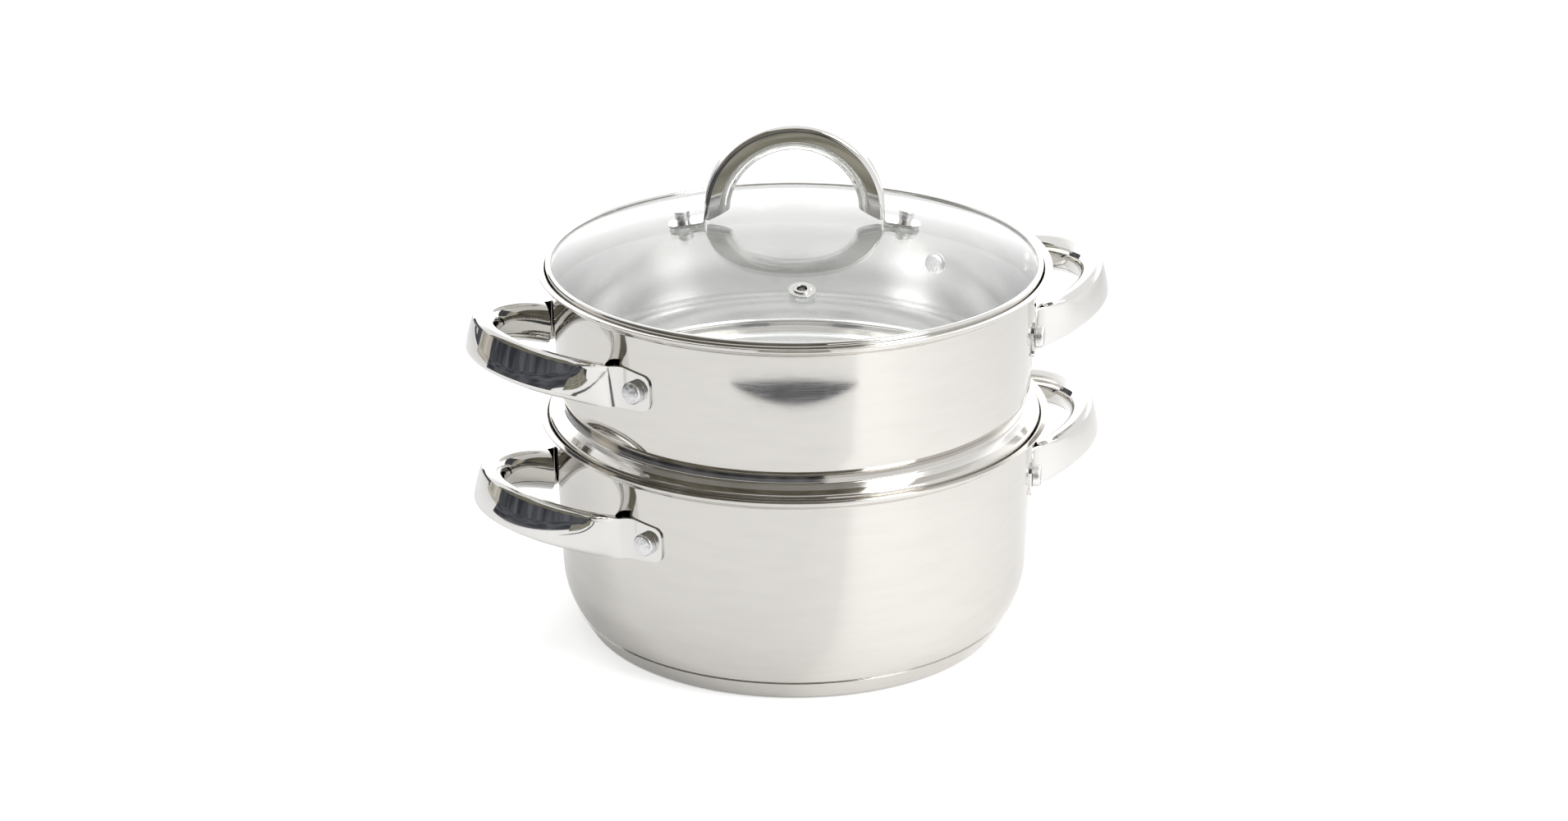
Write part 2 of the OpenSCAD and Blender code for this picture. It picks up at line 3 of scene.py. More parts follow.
import bmesh
import bpy
from mathutils import Matrix, Vector, noise


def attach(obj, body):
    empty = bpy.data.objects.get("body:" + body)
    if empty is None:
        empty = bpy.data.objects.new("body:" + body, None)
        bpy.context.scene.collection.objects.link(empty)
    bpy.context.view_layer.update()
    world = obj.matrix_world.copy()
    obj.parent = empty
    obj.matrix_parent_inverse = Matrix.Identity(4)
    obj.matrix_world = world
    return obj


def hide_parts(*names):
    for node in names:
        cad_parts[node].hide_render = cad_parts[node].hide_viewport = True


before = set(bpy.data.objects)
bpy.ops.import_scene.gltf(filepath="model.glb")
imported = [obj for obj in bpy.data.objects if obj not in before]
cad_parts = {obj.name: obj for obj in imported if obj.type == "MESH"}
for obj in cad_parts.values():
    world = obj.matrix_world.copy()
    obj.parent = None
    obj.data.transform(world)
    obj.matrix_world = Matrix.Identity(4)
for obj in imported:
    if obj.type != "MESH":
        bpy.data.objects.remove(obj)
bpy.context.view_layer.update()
print("frame loaded:", len(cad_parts), "nodes")

mm = 0.001               # pieces are drawn in millimetres and scaled once, when they are finished
# how near, in millimetres, points count as one, a cut as on a point, and a point as in a row
near = {"turned": 0.002, "extruded": 0.001, "cut": 0.0005, "row": 0.01}
leastBend = 0.05         # what is left of a bend on its inner side
smallSharp = 40          # degrees from which an edge of a small round piece stays sharp


def turned(degrees):
    return Matrix.Rotation(math.radians(degrees), 4, "Z")


def shifted(x=0.0, y=0.0, z=0.0):
    return Matrix.Translation((x, y, z))


def heading(degrees):
    return Vector((math.cos(math.radians(degrees)), math.sin(math.radians(degrees))))


def crossing(p, a, q, b):
    # where the line through p at a degrees meets the line through q at b degrees
    ahead, across = heading(a), heading(b)
    return Vector(p) + ahead * ((Vector(q) - Vector(p)).cross(across) / ahead.cross(across))


def leftOf(v):
    return Vector((-v[1], v[0]))


def besideLine(points, bends, offset):
    # the same bent line moved sideways; its bends keep their centres
    moved, radii = [], []
    for i, point in enumerate(points):
        before = (Vector(point) - Vector(points[i - 1])).normalized() if i else None
        after = (Vector(points[i + 1]) - Vector(point)).normalized() if i < len(points) - 1 else None
        one, two = before or after, after or before
        moved.append(Vector(point) + (leftOf(one) + leftOf(two)) * offset / (1 + one.dot(two)))
        if before and after:
            side = 1 if one.cross(two) > 0 else -1
            radii.append(max(bends[i - 1] - side * offset, leastBend))
    return moved, radii


def onlyVerts(geometry):
    return [v for v in geometry if isinstance(v, bmesh.types.BMVert)]


def onlyEdges(geometry):
    return [e for e in geometry if isinstance(e, bmesh.types.BMEdge)]


def facesWith(faces):
    return list({x for f in faces for x in (*f.verts, *f.edges, f)})


def drawWire(bm, points, bends, stepDegrees=7.5):
    # one straight stretch and one round bend after the other, in the XZ plane
    corners = [Vector((x, 0, z)) for x, z in points]
    tip = bm.verts.new(corners[0])
    for i in range(1, len(corners)):
        ahead = (corners[i] - corners[i - 1]).normalized()
        cut = 0
        if i < len(corners) - 1:
            after = (corners[i + 1] - corners[i]).normalized()
            turn = ahead.angle(after)
            cut = bends[i - 1] * math.tan(turn / 2)
        tip = bmesh.ops.extrude_vert_indiv(bm, verts=[tip])["verts"][0]
        tip.co = corners[i] - ahead * cut
        if cut > 0:
            axis = ahead.cross(after).normalized()
            steps = max(2, math.ceil(math.degrees(turn) / stepDegrees))
            bent = bmesh.ops.spin(bm, geom=[tip], cent=tip.co + axis.cross(ahead) * bends[i - 1],
                                  axis=axis, angle=turn, steps=steps)
            tip = onlyVerts(bent["geom_last"])[0]
    return tip


def drawSheet(bm, points, bends, thickness, edgeBend):
    # a sheet in section: out along one face, round its free edge and back along the other
    inner, innerBends = besideLine(points, bends, thickness)
    drawWire(bm, list(points) + inner[::-1],
             list(bends) + [edgeBend, edgeBend] + innerBends[::-1])


def sweepAll(bm, angle, steps, axis=(0, 0, 1), merge=False):
    # sweeps everything drawn about the origin
    return bmesh.ops.spin(bm, geom=bm.verts[:] + bm.edges[:], cent=(0, 0, 0), axis=axis,
                          angle=angle, steps=steps, use_merge=merge)


def turnOnAxis(bm, steps=256):
    # a full turn about the vertical axis
    sweepAll(bm, math.tau, steps, merge=True)
    bmesh.ops.remove_doubles(bm, verts=bm.verts, dist=near["turned"])
    bmesh.ops.recalc_face_normals(bm, faces=bm.faces)


def faceOutward(bm, axis):
    # the face that lies furthest along an axis has to look that way
    bmesh.ops.recalc_face_normals(bm, faces=bm.faces)
    if max(bm.faces, key=lambda f: f.calc_center_median()[axis]).normal[axis] < 0:
        bmesh.ops.reverse_faces(bm, faces=bm.faces)


def drawOn(bm, edges):
    # a new row of faces along the edges; gives the new points and edges
    made = bmesh.ops.extrude_edge_only(bm, edges=edges)["geom"]
    row = onlyVerts(made)
    return row, [e for e in onlyEdges(made) if e.verts[0] in row and e.verts[1] in row]


def cornerLoss(radius, into):
    # how much narrower a strip is where it is this far into its round corner
    return radius - math.sqrt(max(radius ** 2 - into ** 2, 0)) if into > 0 else 0


def moveAll(bm, matrix, verts=None):
    bmesh.ops.transform(bm, matrix=matrix, space=Matrix.Identity(4), verts=verts or bm.verts)


def repeatAt(bm, matrices):
    # a copy of the whole mesh at each place
    source = bm.verts[:] + bm.edges[:] + bm.faces[:]
    for matrix in matrices[1:]:
        moveAll(bm, matrix, onlyVerts(bmesh.ops.duplicate(bm, geom=source)["geom"]))
    moveAll(bm, matrices[0], onlyVerts(source))


def meshObject(name, bm):
    mesh = bpy.data.meshes.new(name)
    bm.to_mesh(mesh)
    bm.free()
    item = bpy.data.objects.new(name, mesh)
    bpy.context.scene.collection.objects.link(item)
    return item


def inMetres(name, bm):
    bmesh.ops.scale(bm, vec=(mm, mm, mm), verts=bm.verts)
    return meshObject(name, bm)


def finishPiece(name, bm, body, slotName, replaced, sharpDegrees=35):
    piece = inMetres(name, bm)
    piece.data.shade_smooth()
    if sharpDegrees:
        piece.data.set_sharp_from_angle(angle=math.radians(sharpDegrees))
    piece.data.materials.append(finishes[slotName])
    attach(piece, body)
    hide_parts(*replaced)
    print("piece:", name, len(piece.data.polygons), "faces")
    return piece


def keepFlats(piece):
    # large faces keep their own direction, so that flat stretches mirror as flat ones
    piece.modifiers.new("flats", "WEIGHTED_NORMAL").keep_sharp = True


def thicken(piece, thickness, edgeWidth, edgeDegrees=50):
    # sheet metal: the drawn face is the outer one, and the wall grows behind it
    solid = piece.modifiers.new("wall", "SOLIDIFY")
    solid.thickness, solid.offset, solid.use_even_offset = thickness * mm, -1, True
    bevel = piece.modifiers.new("edge", "BEVEL")
    bevel.width, bevel.segments, bevel.limit_method = edgeWidth * mm, 2, "ANGLE"
    bevel.angle_limit = math.radians(edgeDegrees)
    keepFlats(piece)


def newMaterial(name):
    material = bpy.data.materials.new(name)
    material.use_nodes = True
    return material, material.node_tree, material.node_tree.nodes["Principled BSDF"]


def addNode(tree, kind, **values):
    node = tree.nodes.new(kind)
    for key, value in values.items():
        setattr(node, key, value)
    return node


def feed(tree, socket, value):
    # a number is set on the socket, anything else is linked to it
    if isinstance(value, (int, float)):
        socket.default_value = value
    else:
        tree.links.new(value, socket)


def mathNode(tree, operation, *values):
    node = addNode(tree, "ShaderNodeMath", operation=operation)
    for socket, value in zip(node.inputs, values):
        feed(tree, socket, value)
    return node.outputs[0]


def ramp(tree, value, low, high, outLow, outHigh):
    node = addNode(tree, "ShaderNodeMapRange")
    tree.links.new(value, node.inputs["Value"])
    for name, number in (("From Min", low), ("From Max", high), ("To Min", outLow),
                         ("To Max", outHigh)):
        node.inputs[name].default_value = number
    return node.outputs[0]


def axesOf(tree, vector):
    node = addNode(tree, "ShaderNodeSeparateXYZ")
    tree.links.new(vector, node.inputs[0])
    return node.outputs


def stretchBy(tree, vector, factors):
    node = addNode(tree, "ShaderNodeVectorMath", operation="MULTIPLY")
    node.inputs[1].default_value = factors
    tree.links.new(vector, node.inputs[0])
    return node.outputs[0]


def showAs(tree, output):
    tree.links.new(output, tree.nodes["Material Output"].inputs["Surface"])


def noiseNode(tree, vector, scale, detail, roughness=0.5, distortion=0.0):
    node = addNode(tree, "ShaderNodeTexNoise")
    tree.links.new(vector, node.inputs["Vector"])
    for name, number in (("Scale", scale), ("Detail", detail), ("Roughness", roughness),
                         ("Distortion", distortion)):
        node.inputs[name].default_value = number
    return node.outputs[0]


def tintBetween(tree, factor, darker, colour, socket):
    tint = addNode(tree, "ShaderNodeMix", data_type="RGBA")
    for name, value in (("A", darker), ("B", colour)):
        if isinstance(value, tuple):
            tint.inputs[name].default_value = (*value, 1)
        else:
            tree.links.new(value, tint.inputs[name])
    tree.links.new(factor, tint.inputs["Factor"])
    tree.links.new(tint.outputs["Result"], socket)
    return tint


def bumpFrom(tree, shader, height, strength, depth):
    bump = addNode(tree, "ShaderNodeBump")
    bump.inputs["Strength"].default_value = strength
    bump.inputs["Distance"].default_value = depth * mm
    tree.links.new(height, bump.inputs["Height"])
    tree.links.new(bump.outputs[0], shader.inputs["Normal"])


def objectPoint(tree):
    return addNode(tree, "ShaderNodeTexCoord").outputs["Object"]


def rayIs(tree, *kinds):
    # 1 for rays of any of these kinds, and 0 for all others
    path = addNode(tree, "ShaderNodeLightPath").outputs
    mask = path[kinds[0]]
    for kind in kinds[1:]:
        mask = mathNode(tree, "MAXIMUM", mask, path[kind])
    return mask


def useGroup(tree, group, values):
    node = addNode(tree, "ShaderNodeGroup", node_tree=group)
    for name, value in values.items():
        feed(tree, node.inputs[name], value)
    return node.outputs


def newGroup(name, inputs, outputs):
    group = bpy.data.node_groups.new(name, "ShaderNodeTree")
    for label, kind, value in inputs:
        socket = group.interface.new_socket(label, in_out="INPUT", socket_type=kind)
        if value is not None:
            socket.default_value = value
    for label in outputs:
        group.interface.new_socket(label, in_out="OUTPUT", socket_type="NodeSocketFloat")
    return group, group.nodes.new("NodeGroupInput").outputs, group.nodes.new("NodeGroupOutput").inputs


# each noise is a scale and a detail, then a roughness and a distortion where they are set
polishMarks = {"fine": (1.0, 3.0, 0.65), "broad": (1.0, 4.0), "broadStretch": (0.5, 0.5, 0.06),
               "scuffs": (55.0, 6.0, 0.7), "leastRadius": 0.0005, "wallFacing": -0.15,
               "floorFacing": 0.9}
wearMarks = {"hairlines": (3.0, 5.0, 0.5, 0.4), "hairRotation": (0.5, 0.9, 0.4),
             "hairStretch": (1.0, 0.06, 0.2), "clouds": (0.25, 5.0), "grain": (6.0, 4.0)}
# the part of a noise's range that each mark is taken from
noiseRange = {"lines": (0.3, 0.7), "smears": (0.35, 0.75), "broadTint": (0.3, 0.6),
              "hairlines": (0.4, 0.75), "clouds": (0.35, 0.7), "tint": (0.35, 0.65),
              "glassSmears": (0.45, 0.75), "streaks": (0.38, 0.62)}


def makePolishGroup():
    # lines left by polishing a turned piece: fine rings round the axis, broken up along them
    group, given, result = newGroup(
        "turnedPolish",
        [("Point", "NodeSocketVector", None), ("Rings per metre", "NodeSocketFloat", 2600.0),
         ("Run", "NodeSocketFloat", 9.0), ("Facing", "NodeSocketVector", None),
         ("Mouth", "NodeSocketFloat", 0.12)], ["Fine", "Broad", "Scuffs", "Inside"])
    x, y, z = axesOf(group, given["Point"])
    radius = mathNode(group, "SQRT", mathNode(group, "ADD", mathNode(group, "MULTIPLY", x, x),
                                              mathNode(group, "MULTIPLY", y, y)))
    across = mathNode(group, "MULTIPLY", mathNode(group, "ADD", radius, z), given["Rings per metre"])
    # the direction round the axis as a point on a circle, so that the lines have no seam
    length = mathNode(group, "MAXIMUM", radius, polishMarks["leastRadius"])
    spot = addNode(group, "ShaderNodeCombineXYZ")
    for socket, side in zip(spot.inputs, (x, y)):
        share = mathNode(group, "DIVIDE", side, length)
        group.links.new(mathNode(group, "MULTIPLY", share, given["Run"]), socket)
    group.links.new(across, spot.inputs[2])
    wide = stretchBy(group, spot.outputs[0], polishMarks["broadStretch"])
    for name, point in (("fine", spot.outputs[0]), ("broad", wide), ("scuffs", given["Point"])):
        group.links.new(noiseNode(group, point, *polishMarks[name]), result[name.capitalize()])
    # the inside: what faces the axis, and the upper side of the floor
    alongX, alongY, upward = axesOf(group, given["Facing"])
    outward = mathNode(group, "DIVIDE",
                       mathNode(group, "ADD", mathNode(group, "MULTIPLY", x, alongX),
                                mathNode(group, "MULTIPLY", y, alongY)), length)
    inward = mathNode(group, "MAXIMUM",
                      mathNode(group, "LESS_THAN", outward, polishMarks["wallFacing"]),
                      mathNode(group, "GREATER_THAN", upward, polishMarks["floorFacing"]))
    within = mathNode(group, "LESS_THAN", radius, given["Mouth"])
    group.links.new(mathNode(group, "MULTIPLY", inward, within), result["Inside"])
    return group


def makeWearGroup():
    # hairline scratches, faint clouds and grain, for small polished pieces
    group, given, result = newGroup(
        "handlingMarks",
        [("Point", "NodeSocketVector", None), ("Scale", "NodeSocketFloat", 300.0)],
        ["Hairlines", "Clouds", "Grain"])
    scaled = addNode(group, "ShaderNodeVectorMath", operation="SCALE")
    group.links.new(given["Point"], scaled.inputs[0])
    group.links.new(given["Scale"], scaled.inputs["Scale"])
    aslant = addNode(group, "ShaderNodeMapping")
    aslant.inputs["Rotation"].default_value = wearMarks["hairRotation"]
    aslant.inputs["Scale"].default_value = wearMarks["hairStretch"]
    group.links.new(scaled.outputs[0], aslant.inputs["Vector"])
    for name, node in (("hairlines", aslant), ("clouds", scaled), ("grain", scaled)):
        group.links.new(noiseNode(group, node.outputs[0], *wearMarks[name]),
                        result[name.capitalize()])
    return group


polishGroup = makePolishGroup()
wearGroup = makeWearGroup()


def turnedSteel(name, look):
    material, tree, shader = newMaterial(name)
    place = addNode(tree, "ShaderNodeTexCoord").outputs
    polish = useGroup(tree, polishGroup, {"Point": place["Object"], "Facing": place["Normal"],
                                          "Rings per metre": look["ringsPerMetre"],
                                          "Mouth": look["insideTo"]})
    tree.links.new(ramp(tree, polish["Inside"], 0.0, 1.0, 1.0, look["insideMetallic"]),
                   shader.inputs["Metallic"])
    shader.inputs["Anisotropic"].default_value = look["anisotropic"]
    tangent = addNode(tree, "ShaderNodeTangent", direction_type="RADIAL", axis="Z")
    tree.links.new(tangent.outputs[0], shader.inputs["Tangent"])
    # roughness: the base finish, with the lines and faint smears on it
    lines = ramp(tree, polish["Fine"], *noiseRange["lines"], -look["lineRoughness"],
                 look["lineRoughness"])
    smears = ramp(tree, polish["Scuffs"], *noiseRange["smears"], 0.0, look["smearRoughness"])
    satin = ramp(tree, polish["Inside"], 0.0, 1.0, look["roughness"], look["insideRoughness"])
    rough = mathNode(tree, "ADD", mathNode(tree, "ADD", lines, smears), satin)
    tree.links.new(rough, shader.inputs["Roughness"])
    colour = shader.inputs["Base Color"]
    outside = tintBetween(tree, ramp(tree, polish["Broad"], *noiseRange["broadTint"], 0.0, 1.0),
                          look["darker"], look["colour"], colour)
    tintBetween(tree, polish["Inside"], outside.outputs["Result"], look["insideColour"], colour)
    bumpFrom(tree, shader, polish["Fine"], look["lineBump"], look["lineDepth"])
    return material


def handledMetal(name, look):
    material, tree, shader = newMaterial(name)
    wear = useGroup(tree, wearGroup, {"Point": objectPoint(tree), "Scale": look["scale"]})
    shader.inputs["Metallic"].default_value = 1.0
    marks = ramp(tree, wear["Hairlines"], *noiseRange["hairlines"], 0.0, look["hairRoughness"])
    clouds = ramp(tree, wear["Clouds"], *noiseRange["clouds"], 0.0, look["cloudRoughness"])
    rough = mathNode(tree, "ADD", mathNode(tree, "ADD", marks, clouds), look["roughness"])
    tree.links.new(rough, shader.inputs["Roughness"])
    tintBetween(tree, ramp(tree, wear[look["tintBy"]], *noiseRange["tint"], 0.0, 1.0),
                look["darker"], look["colour"], shader.inputs["Base Color"])
    bumpFrom(tree, shader, wear[look["bumpBy"]], look["bump"], look["bumpDepth"])
    return material


vesselLook = {"colour": (0.67, 0.652, 0.622), "darker": (0.65, 0.632, 0.602), "roughness": 0.056,
              "anisotropic": 0.5, "ringsPerMetre": 3200.0, "lineRoughness": 0.025,
              "smearRoughness": 0.035, "lineBump": 0.04, "lineDepth": 0.02,
              "insideRoughness": 0.14, "insideColour": (0.9, 0.9, 0.895), "insideMetallic": 0.9,
              "insideTo": 0.1195}
handleLook = {"colour": (0.76, 0.75, 0.73), "darker": (0.72, 0.71, 0.69), "roughness": 0.03,
              "scale": 120.0, "hairRoughness": 0.02, "cloudRoughness": 0.02, "tintBy": "Clouds",
              "bump": 0.03, "bumpDepth": 0.02, "bumpBy": "Hairlines"}
rivetLook = {"colour": (0.88, 0.88, 0.88), "darker": (0.74, 0.74, 0.75), "roughness": 0.2,
             "scale": 420.0, "hairRoughness": 0.1, "cloudRoughness": 0.12, "tintBy": "Grain",
             "bump": 0.6, "bumpDepth": 0.2, "bumpBy": "Grain"}
coreLook = {"colour": (0.72, 0.72, 0.73), "darker": (0.6, 0.6, 0.61), "roughness": 0.4,
            "scale": 500.0, "hairRoughness": 0.1, "cloudRoughness": 0.1, "tintBy": "Grain",
            "bump": 0.2, "bumpDepth": 0.05, "bumpBy": "Grain"}
vesselSteel = turnedSteel("vesselSteel", vesselLook)
handleSteel = handledMetal("handleSteel", handleLook)
rivetMetal = handledMetal("rivetMetal", rivetLook)
coreMetal = handledMetal("coreMetal", coreLook)

glassLook = {"colour": (0.985, 0.992, 0.987), "ior": 1.65, "smears": (18.0, 5.0),
             "smearRoughness": 0.012, "throughColour": (0.93, 0.94, 0.935)}


def makeLidGlass(look):
    material, tree, shader = newMaterial("lidGlass")
    shader.inputs["Base Color"].default_value = (*look["colour"], 1)
    shader.inputs["Transmission Weight"].default_value = 1.0
    shader.inputs["IOR"].default_value = look["ior"]
    smears = noiseNode(tree, objectPoint(tree), *look["smears"])
    tree.links.new(ramp(tree, smears, *noiseRange["glassSmears"], 0.0, look["smearRoughness"]),
                   shader.inputs["Roughness"])
    # lamps shine through the glass, so that the inside of the basket is lit
    clear = addNode(tree, "ShaderNodeBsdfTransparent")
    clear.inputs["Color"].default_value = (*look["throughColour"], 1)
    mix = addNode(tree, "ShaderNodeMixShader")
    for i, output in enumerate((rayIs(tree, "Is Shadow Ray", "Is Diffuse Ray"),
                                shader.outputs[0], clear.outputs[0])):
        tree.links.new(output, mix.inputs[i])
    showAs(tree, mix.outputs[0])
    return material


siliconeLook = {"colour": (0.8, 0.8, 0.78), "darker": (0.7, 0.7, 0.69), "roughness": 0.4,
                "moreRoughness": 0.12, "specks": (900.0, 4.0), "bump": 0.2, "bumpDepth": 0.03}


def makeSilicone(look):
    material, tree, shader = newMaterial("silicone")
    specks = noiseNode(tree, objectPoint(tree), *look["specks"])
    tintBetween(tree, ramp(tree, specks, *noiseRange["tint"], 0.0, 1.0), look["darker"],
                look["colour"], shader.inputs["Base Color"])
    roughest = look["roughness"] + look["moreRoughness"]
    tree.links.new(ramp(tree, specks, *noiseRange["lines"], look["roughness"], roughest),
                   shader.inputs["Roughness"])
    bumpFrom(tree, shader, specks, look["bump"], look["bumpDepth"])
    return material


# the finish of each material slot
finishes = {"vessel_steel": vesselSteel, "polished_steel": handleSteel,
            "rivet_aluminium": rivetMetal, "lid_glass": makeLidGlass(glassLook),
            "silicone_seal": makeSilicone(siliconeLook)}
print("finishes made")

vessel = {"mouth": 240.0, "sheet": 0.9, "draft": 2.2, "rimHeight": 5.9, "stepWidth": 3.9,
          "lipWidth": 3.2, "stepLean": 55.0, "stepBend": 1.5, "lipBend": 0.7, "edgeBend": 0.3,
          "bendShare": 0.98}
wallRadius = vessel["mouth"] / 2 + vessel["sheet"]
stepRadius = wallRadius + vessel["stepWidth"]
lipRadius = stepRadius + vessel["lipWidth"]
coneHeading = 90 - vessel["stepLean"]
wallHeading = 90 - vessel["draft"]
restGap = 0.3            # free play between a rim and what stands on it
rimBends = [vessel["stepBend"], vessel["stepBend"], vessel["lipBend"]]


def wallTop(lip):
    return Vector((wallRadius, lip - vessel["rimHeight"]))


def rimLine(lip):
    top = lip - vessel["sheet"]
    return [wallTop(lip), crossing(wallTop(lip), coneHeading, (stepRadius, lip), 90),
            Vector((stepRadius, top)), Vector((lipRadius, top))]


def seatPoint(lip):
    return wallTop(lip) + leftOf(heading(coneHeading)) * (vessel["sheet"] + restGap)


def fittingBend(bend, a, nearBend, nearTurn, b, turn):
    # the widest bend, up to the given one, that leaves room for the one beside it
    room = (Vector(b) - Vector(a)).length - nearBend * math.tan(math.radians(nearTurn) / 2)
    return min(bend, room / math.tan(math.radians(turn) / 2) * vessel["bendShare"])


pot = {"height": 112.7, "baseInset": 17.5, "lowBend": 9.0, "highBend": 43.0, "slope": 57.0,
       "baseThick": 6.5}
baseFlat = wallRadius - pot["baseInset"]
lowTangent = pot["lowBend"] * math.tan(math.radians(pot["slope"]) / 2)
potLow = Vector((baseFlat + lowTangent, pot["baseThick"]))


def makePot():
    high = crossing(potLow, pot["slope"], wallTop(pot["height"]), wallHeading)
    wide = fittingBend(pot["highBend"], potLow, pot["lowBend"], pot["slope"], high,
                       wallHeading - pot["slope"])
    bm = bmesh.new()
    drawSheet(bm, [(0, pot["baseThick"]), potLow, high, *rimLine(pot["height"])],
              [pot["lowBend"], wide, *rimBends], vessel["sheet"], vessel["edgeBend"])
    turnOnAxis(bm)
    keepFlats(finishPiece("potBowl", bm, "pot", "vessel_steel", ["pot_shell"]))


baseCap = {"sheet": 0.6, "proud": 0.7, "footBend": 4.0, "footOut": 1.8, "edgeBend": 0.2}


def makeBaseCap():
    edge = potLow + heading(pot["slope"]) * lowTangent + Vector((baseCap["proud"], 0))
    bm = bmesh.new()
    drawSheet(bm, [(0, 0), (baseFlat + baseCap["footOut"], 0), edge], [baseCap["footBend"]],
              baseCap["sheet"], baseCap["edgeBend"])
    turnOnAxis(bm)
    keepFlats(finishPiece("baseCap", bm, "pot", "vessel_steel", ["base_cap"]))


makePot()
makeBaseCap()

steamer = {"height": 76.9, "floorDrop": 14.0, "neck": 231.2, "neckRise": 4.9, "beadRise": 1.4,
           "neckSlope": 72.0, "neckHighBend": 45.0, "beadBend": 1.8, "neckBend": 1.2,
           "floorBend": 6.0, "skirtGap": 1.4, "beadGap": 0.5, "turn": -2.7}
steamHoles = {"diameter": 8.0, "rings": 4, "pitch": 22.0, "sides": 24}
steamerLip = pot["height"] + steamer["height"]
steamerFloor = pot["height"] - steamer["floorDrop"]


def steamerLine():
    lip = pot["height"]
    skirt = vessel["mouth"] / 2 - steamer["skirtGap"]
    bead = stepRadius - vessel["sheet"] - steamer["beadGap"]
    neck = Vector((steamer["neck"] / 2, lip + steamer["neckRise"]))
    high = crossing(neck, steamer["neckSlope"], wallTop(steamerLip), wallHeading)
    lean = math.degrees(math.atan2(steamer["neckRise"] - steamer["beadRise"], bead - neck[0]))
    wide = fittingBend(steamer["neckHighBend"], neck, steamer["neckBend"],
                       180 - lean - steamer["neckSlope"], high, wallHeading - steamer["neckSlope"])
    seat = seatPoint(lip)
    points = [(0, steamerFloor), (skirt, steamerFloor), crossing((skirt, 0), 90, seat, coneHeading),
              crossing((bead, 0), 90, seat, coneHeading), (bead, lip + steamer["beadRise"]),
              neck, high, *rimLine(steamerLip)]
    bends = [steamer["floorBend"], vessel["stepBend"], vessel["stepBend"], steamer["beadBend"],
             steamer["neckBend"], wide, *rimBends]
    return points, bends


def holeOf(point):
    # the ring and the number of the steam hole at a point
    ring = round(point.to_2d().length / steamHoles["pitch"])
    count = 6 * max(ring, 1)
    return ring, round(math.atan2(point.y, point.x) / math.tau * count) % count if ring else 0


def makeSteamer():
    points, bends = steamerLine()
    inner, innerBends = besideLine(points, bends, vessel["sheet"])
    # both faces of the floor are filled in round the holes, so the wire starts past them
    solidFrom = (steamHoles["rings"] + 0.5) * steamHoles["pitch"]
    levels = (steamerFloor, steamerFloor + vessel["sheet"])
    bm = bmesh.new()
    drawWire(bm, [(solidFrom, levels[0]), *points[1:], *inner[:0:-1], (solidFrom, levels[1])],
             [*bends, vessel["edgeBend"], vessel["edgeBend"], *innerBends[::-1]])
    turnOnAxis(bm)
    borders = [e for e in bm.edges if e.is_boundary]
    places = [Matrix.Identity(4)]
    for ring in range(1, steamHoles["rings"] + 1):
        places += [Matrix.Rotation(math.tau * i / (6 * ring), 4, "Z")
                   @ shifted(ring * steamHoles["pitch"]) for i in range(6 * ring)]
    for level in levels:
        edges = [e for e in borders if abs(e.verts[0].co.z - level) < vessel["sheet"] / 4]
        for place in places:
            made = bmesh.ops.create_circle(bm, segments=steamHoles["sides"],
                                           radius=steamHoles["diameter"] / 2,
                                           matrix=shifted(z=level) @ place)
            edges += list({e for v in made["verts"] for e in v.link_edges})
        bmesh.ops.triangle_fill(bm, edges=edges, use_beauty=True)
    # the wall of each hole, between its upper and its lower edge
    rims = {}
    for edge in bm.edges:
        if edge.is_boundary:
            rims.setdefault(holeOf((edge.verts[0].co + edge.verts[1].co) / 2), []).append(edge)
    for edges in rims.values():
        bmesh.ops.bridge_loops(bm, edges=edges)
    bmesh.ops.recalc_face_normals(bm, faces=bm.faces)
    moveAll(bm, turned(steamer["turn"]))
    keepFlats(finishPiece("steamerBasket", bm, "steamer", "vessel_steel", ["steamer_shell"]))


makeSteamer()
print("vessels made")

sideHandle = {"reach": 48.4, "width": 100.0, "height": 20.0, "depth": 13.0, "sheet": 1.2,
              "tilt": 15.0, "webBend": 3.0, "webCrown": 0.35, "flatFrom": 22.0, "roll": 9.0,
              "tabBend": 7.0, "drop": 33.4, "rivetAngle": 30.0, "tabHeight": 17.0, "tabEnd": 8.6,
              "tabCorner": 4.0, "endGap": 1.0, "endShare": 0.4, "seamDrop": 4.0, "seam": 0.4,
              "edge": 0.25, "ringSteps": 72, "legSteps": 16, "crownCuts": 9, "bendSteps": 8,
              "tabSteps": 36}
sectionStep = 9          # degrees to a face in the bends of a rolled handle
draftRise = math.tan(math.radians(vessel["draft"]))
handleWall = wallRadius - (sideHandle["drop"] - vessel["rimHeight"]) * draftRise
tabRadius = handleWall + sideHandle["sheet"]
legY = sideHandle["width"] / 2
bendY = legY + sideHandle["tabBend"]
bendX = math.sqrt((tabRadius + sideHandle["tabBend"]) ** 2 - bendY ** 2)
bendAngle = math.atan2(bendY, bendX)


def cutThrough(bm, point, normal, wanted):
    bmesh.ops.bisect_plane(bm, geom=facesWith([f for f in bm.faces if wanted(f)]),
                           dist=near["cut"], plane_co=point, plane_no=normal)


def cutAway(bm, point, normal, wanted=lambda face: True):
    # removes what lies past a plane, in the direction of its normal
    cutThrough(bm, point, normal, wanted)
    gone = [f for f in bm.faces if wanted(f)
            and (f.calc_center_median() - Vector(point)).dot(Vector(normal)) > 0]
    bmesh.ops.delete(bm, geom=gone, context="FACES")


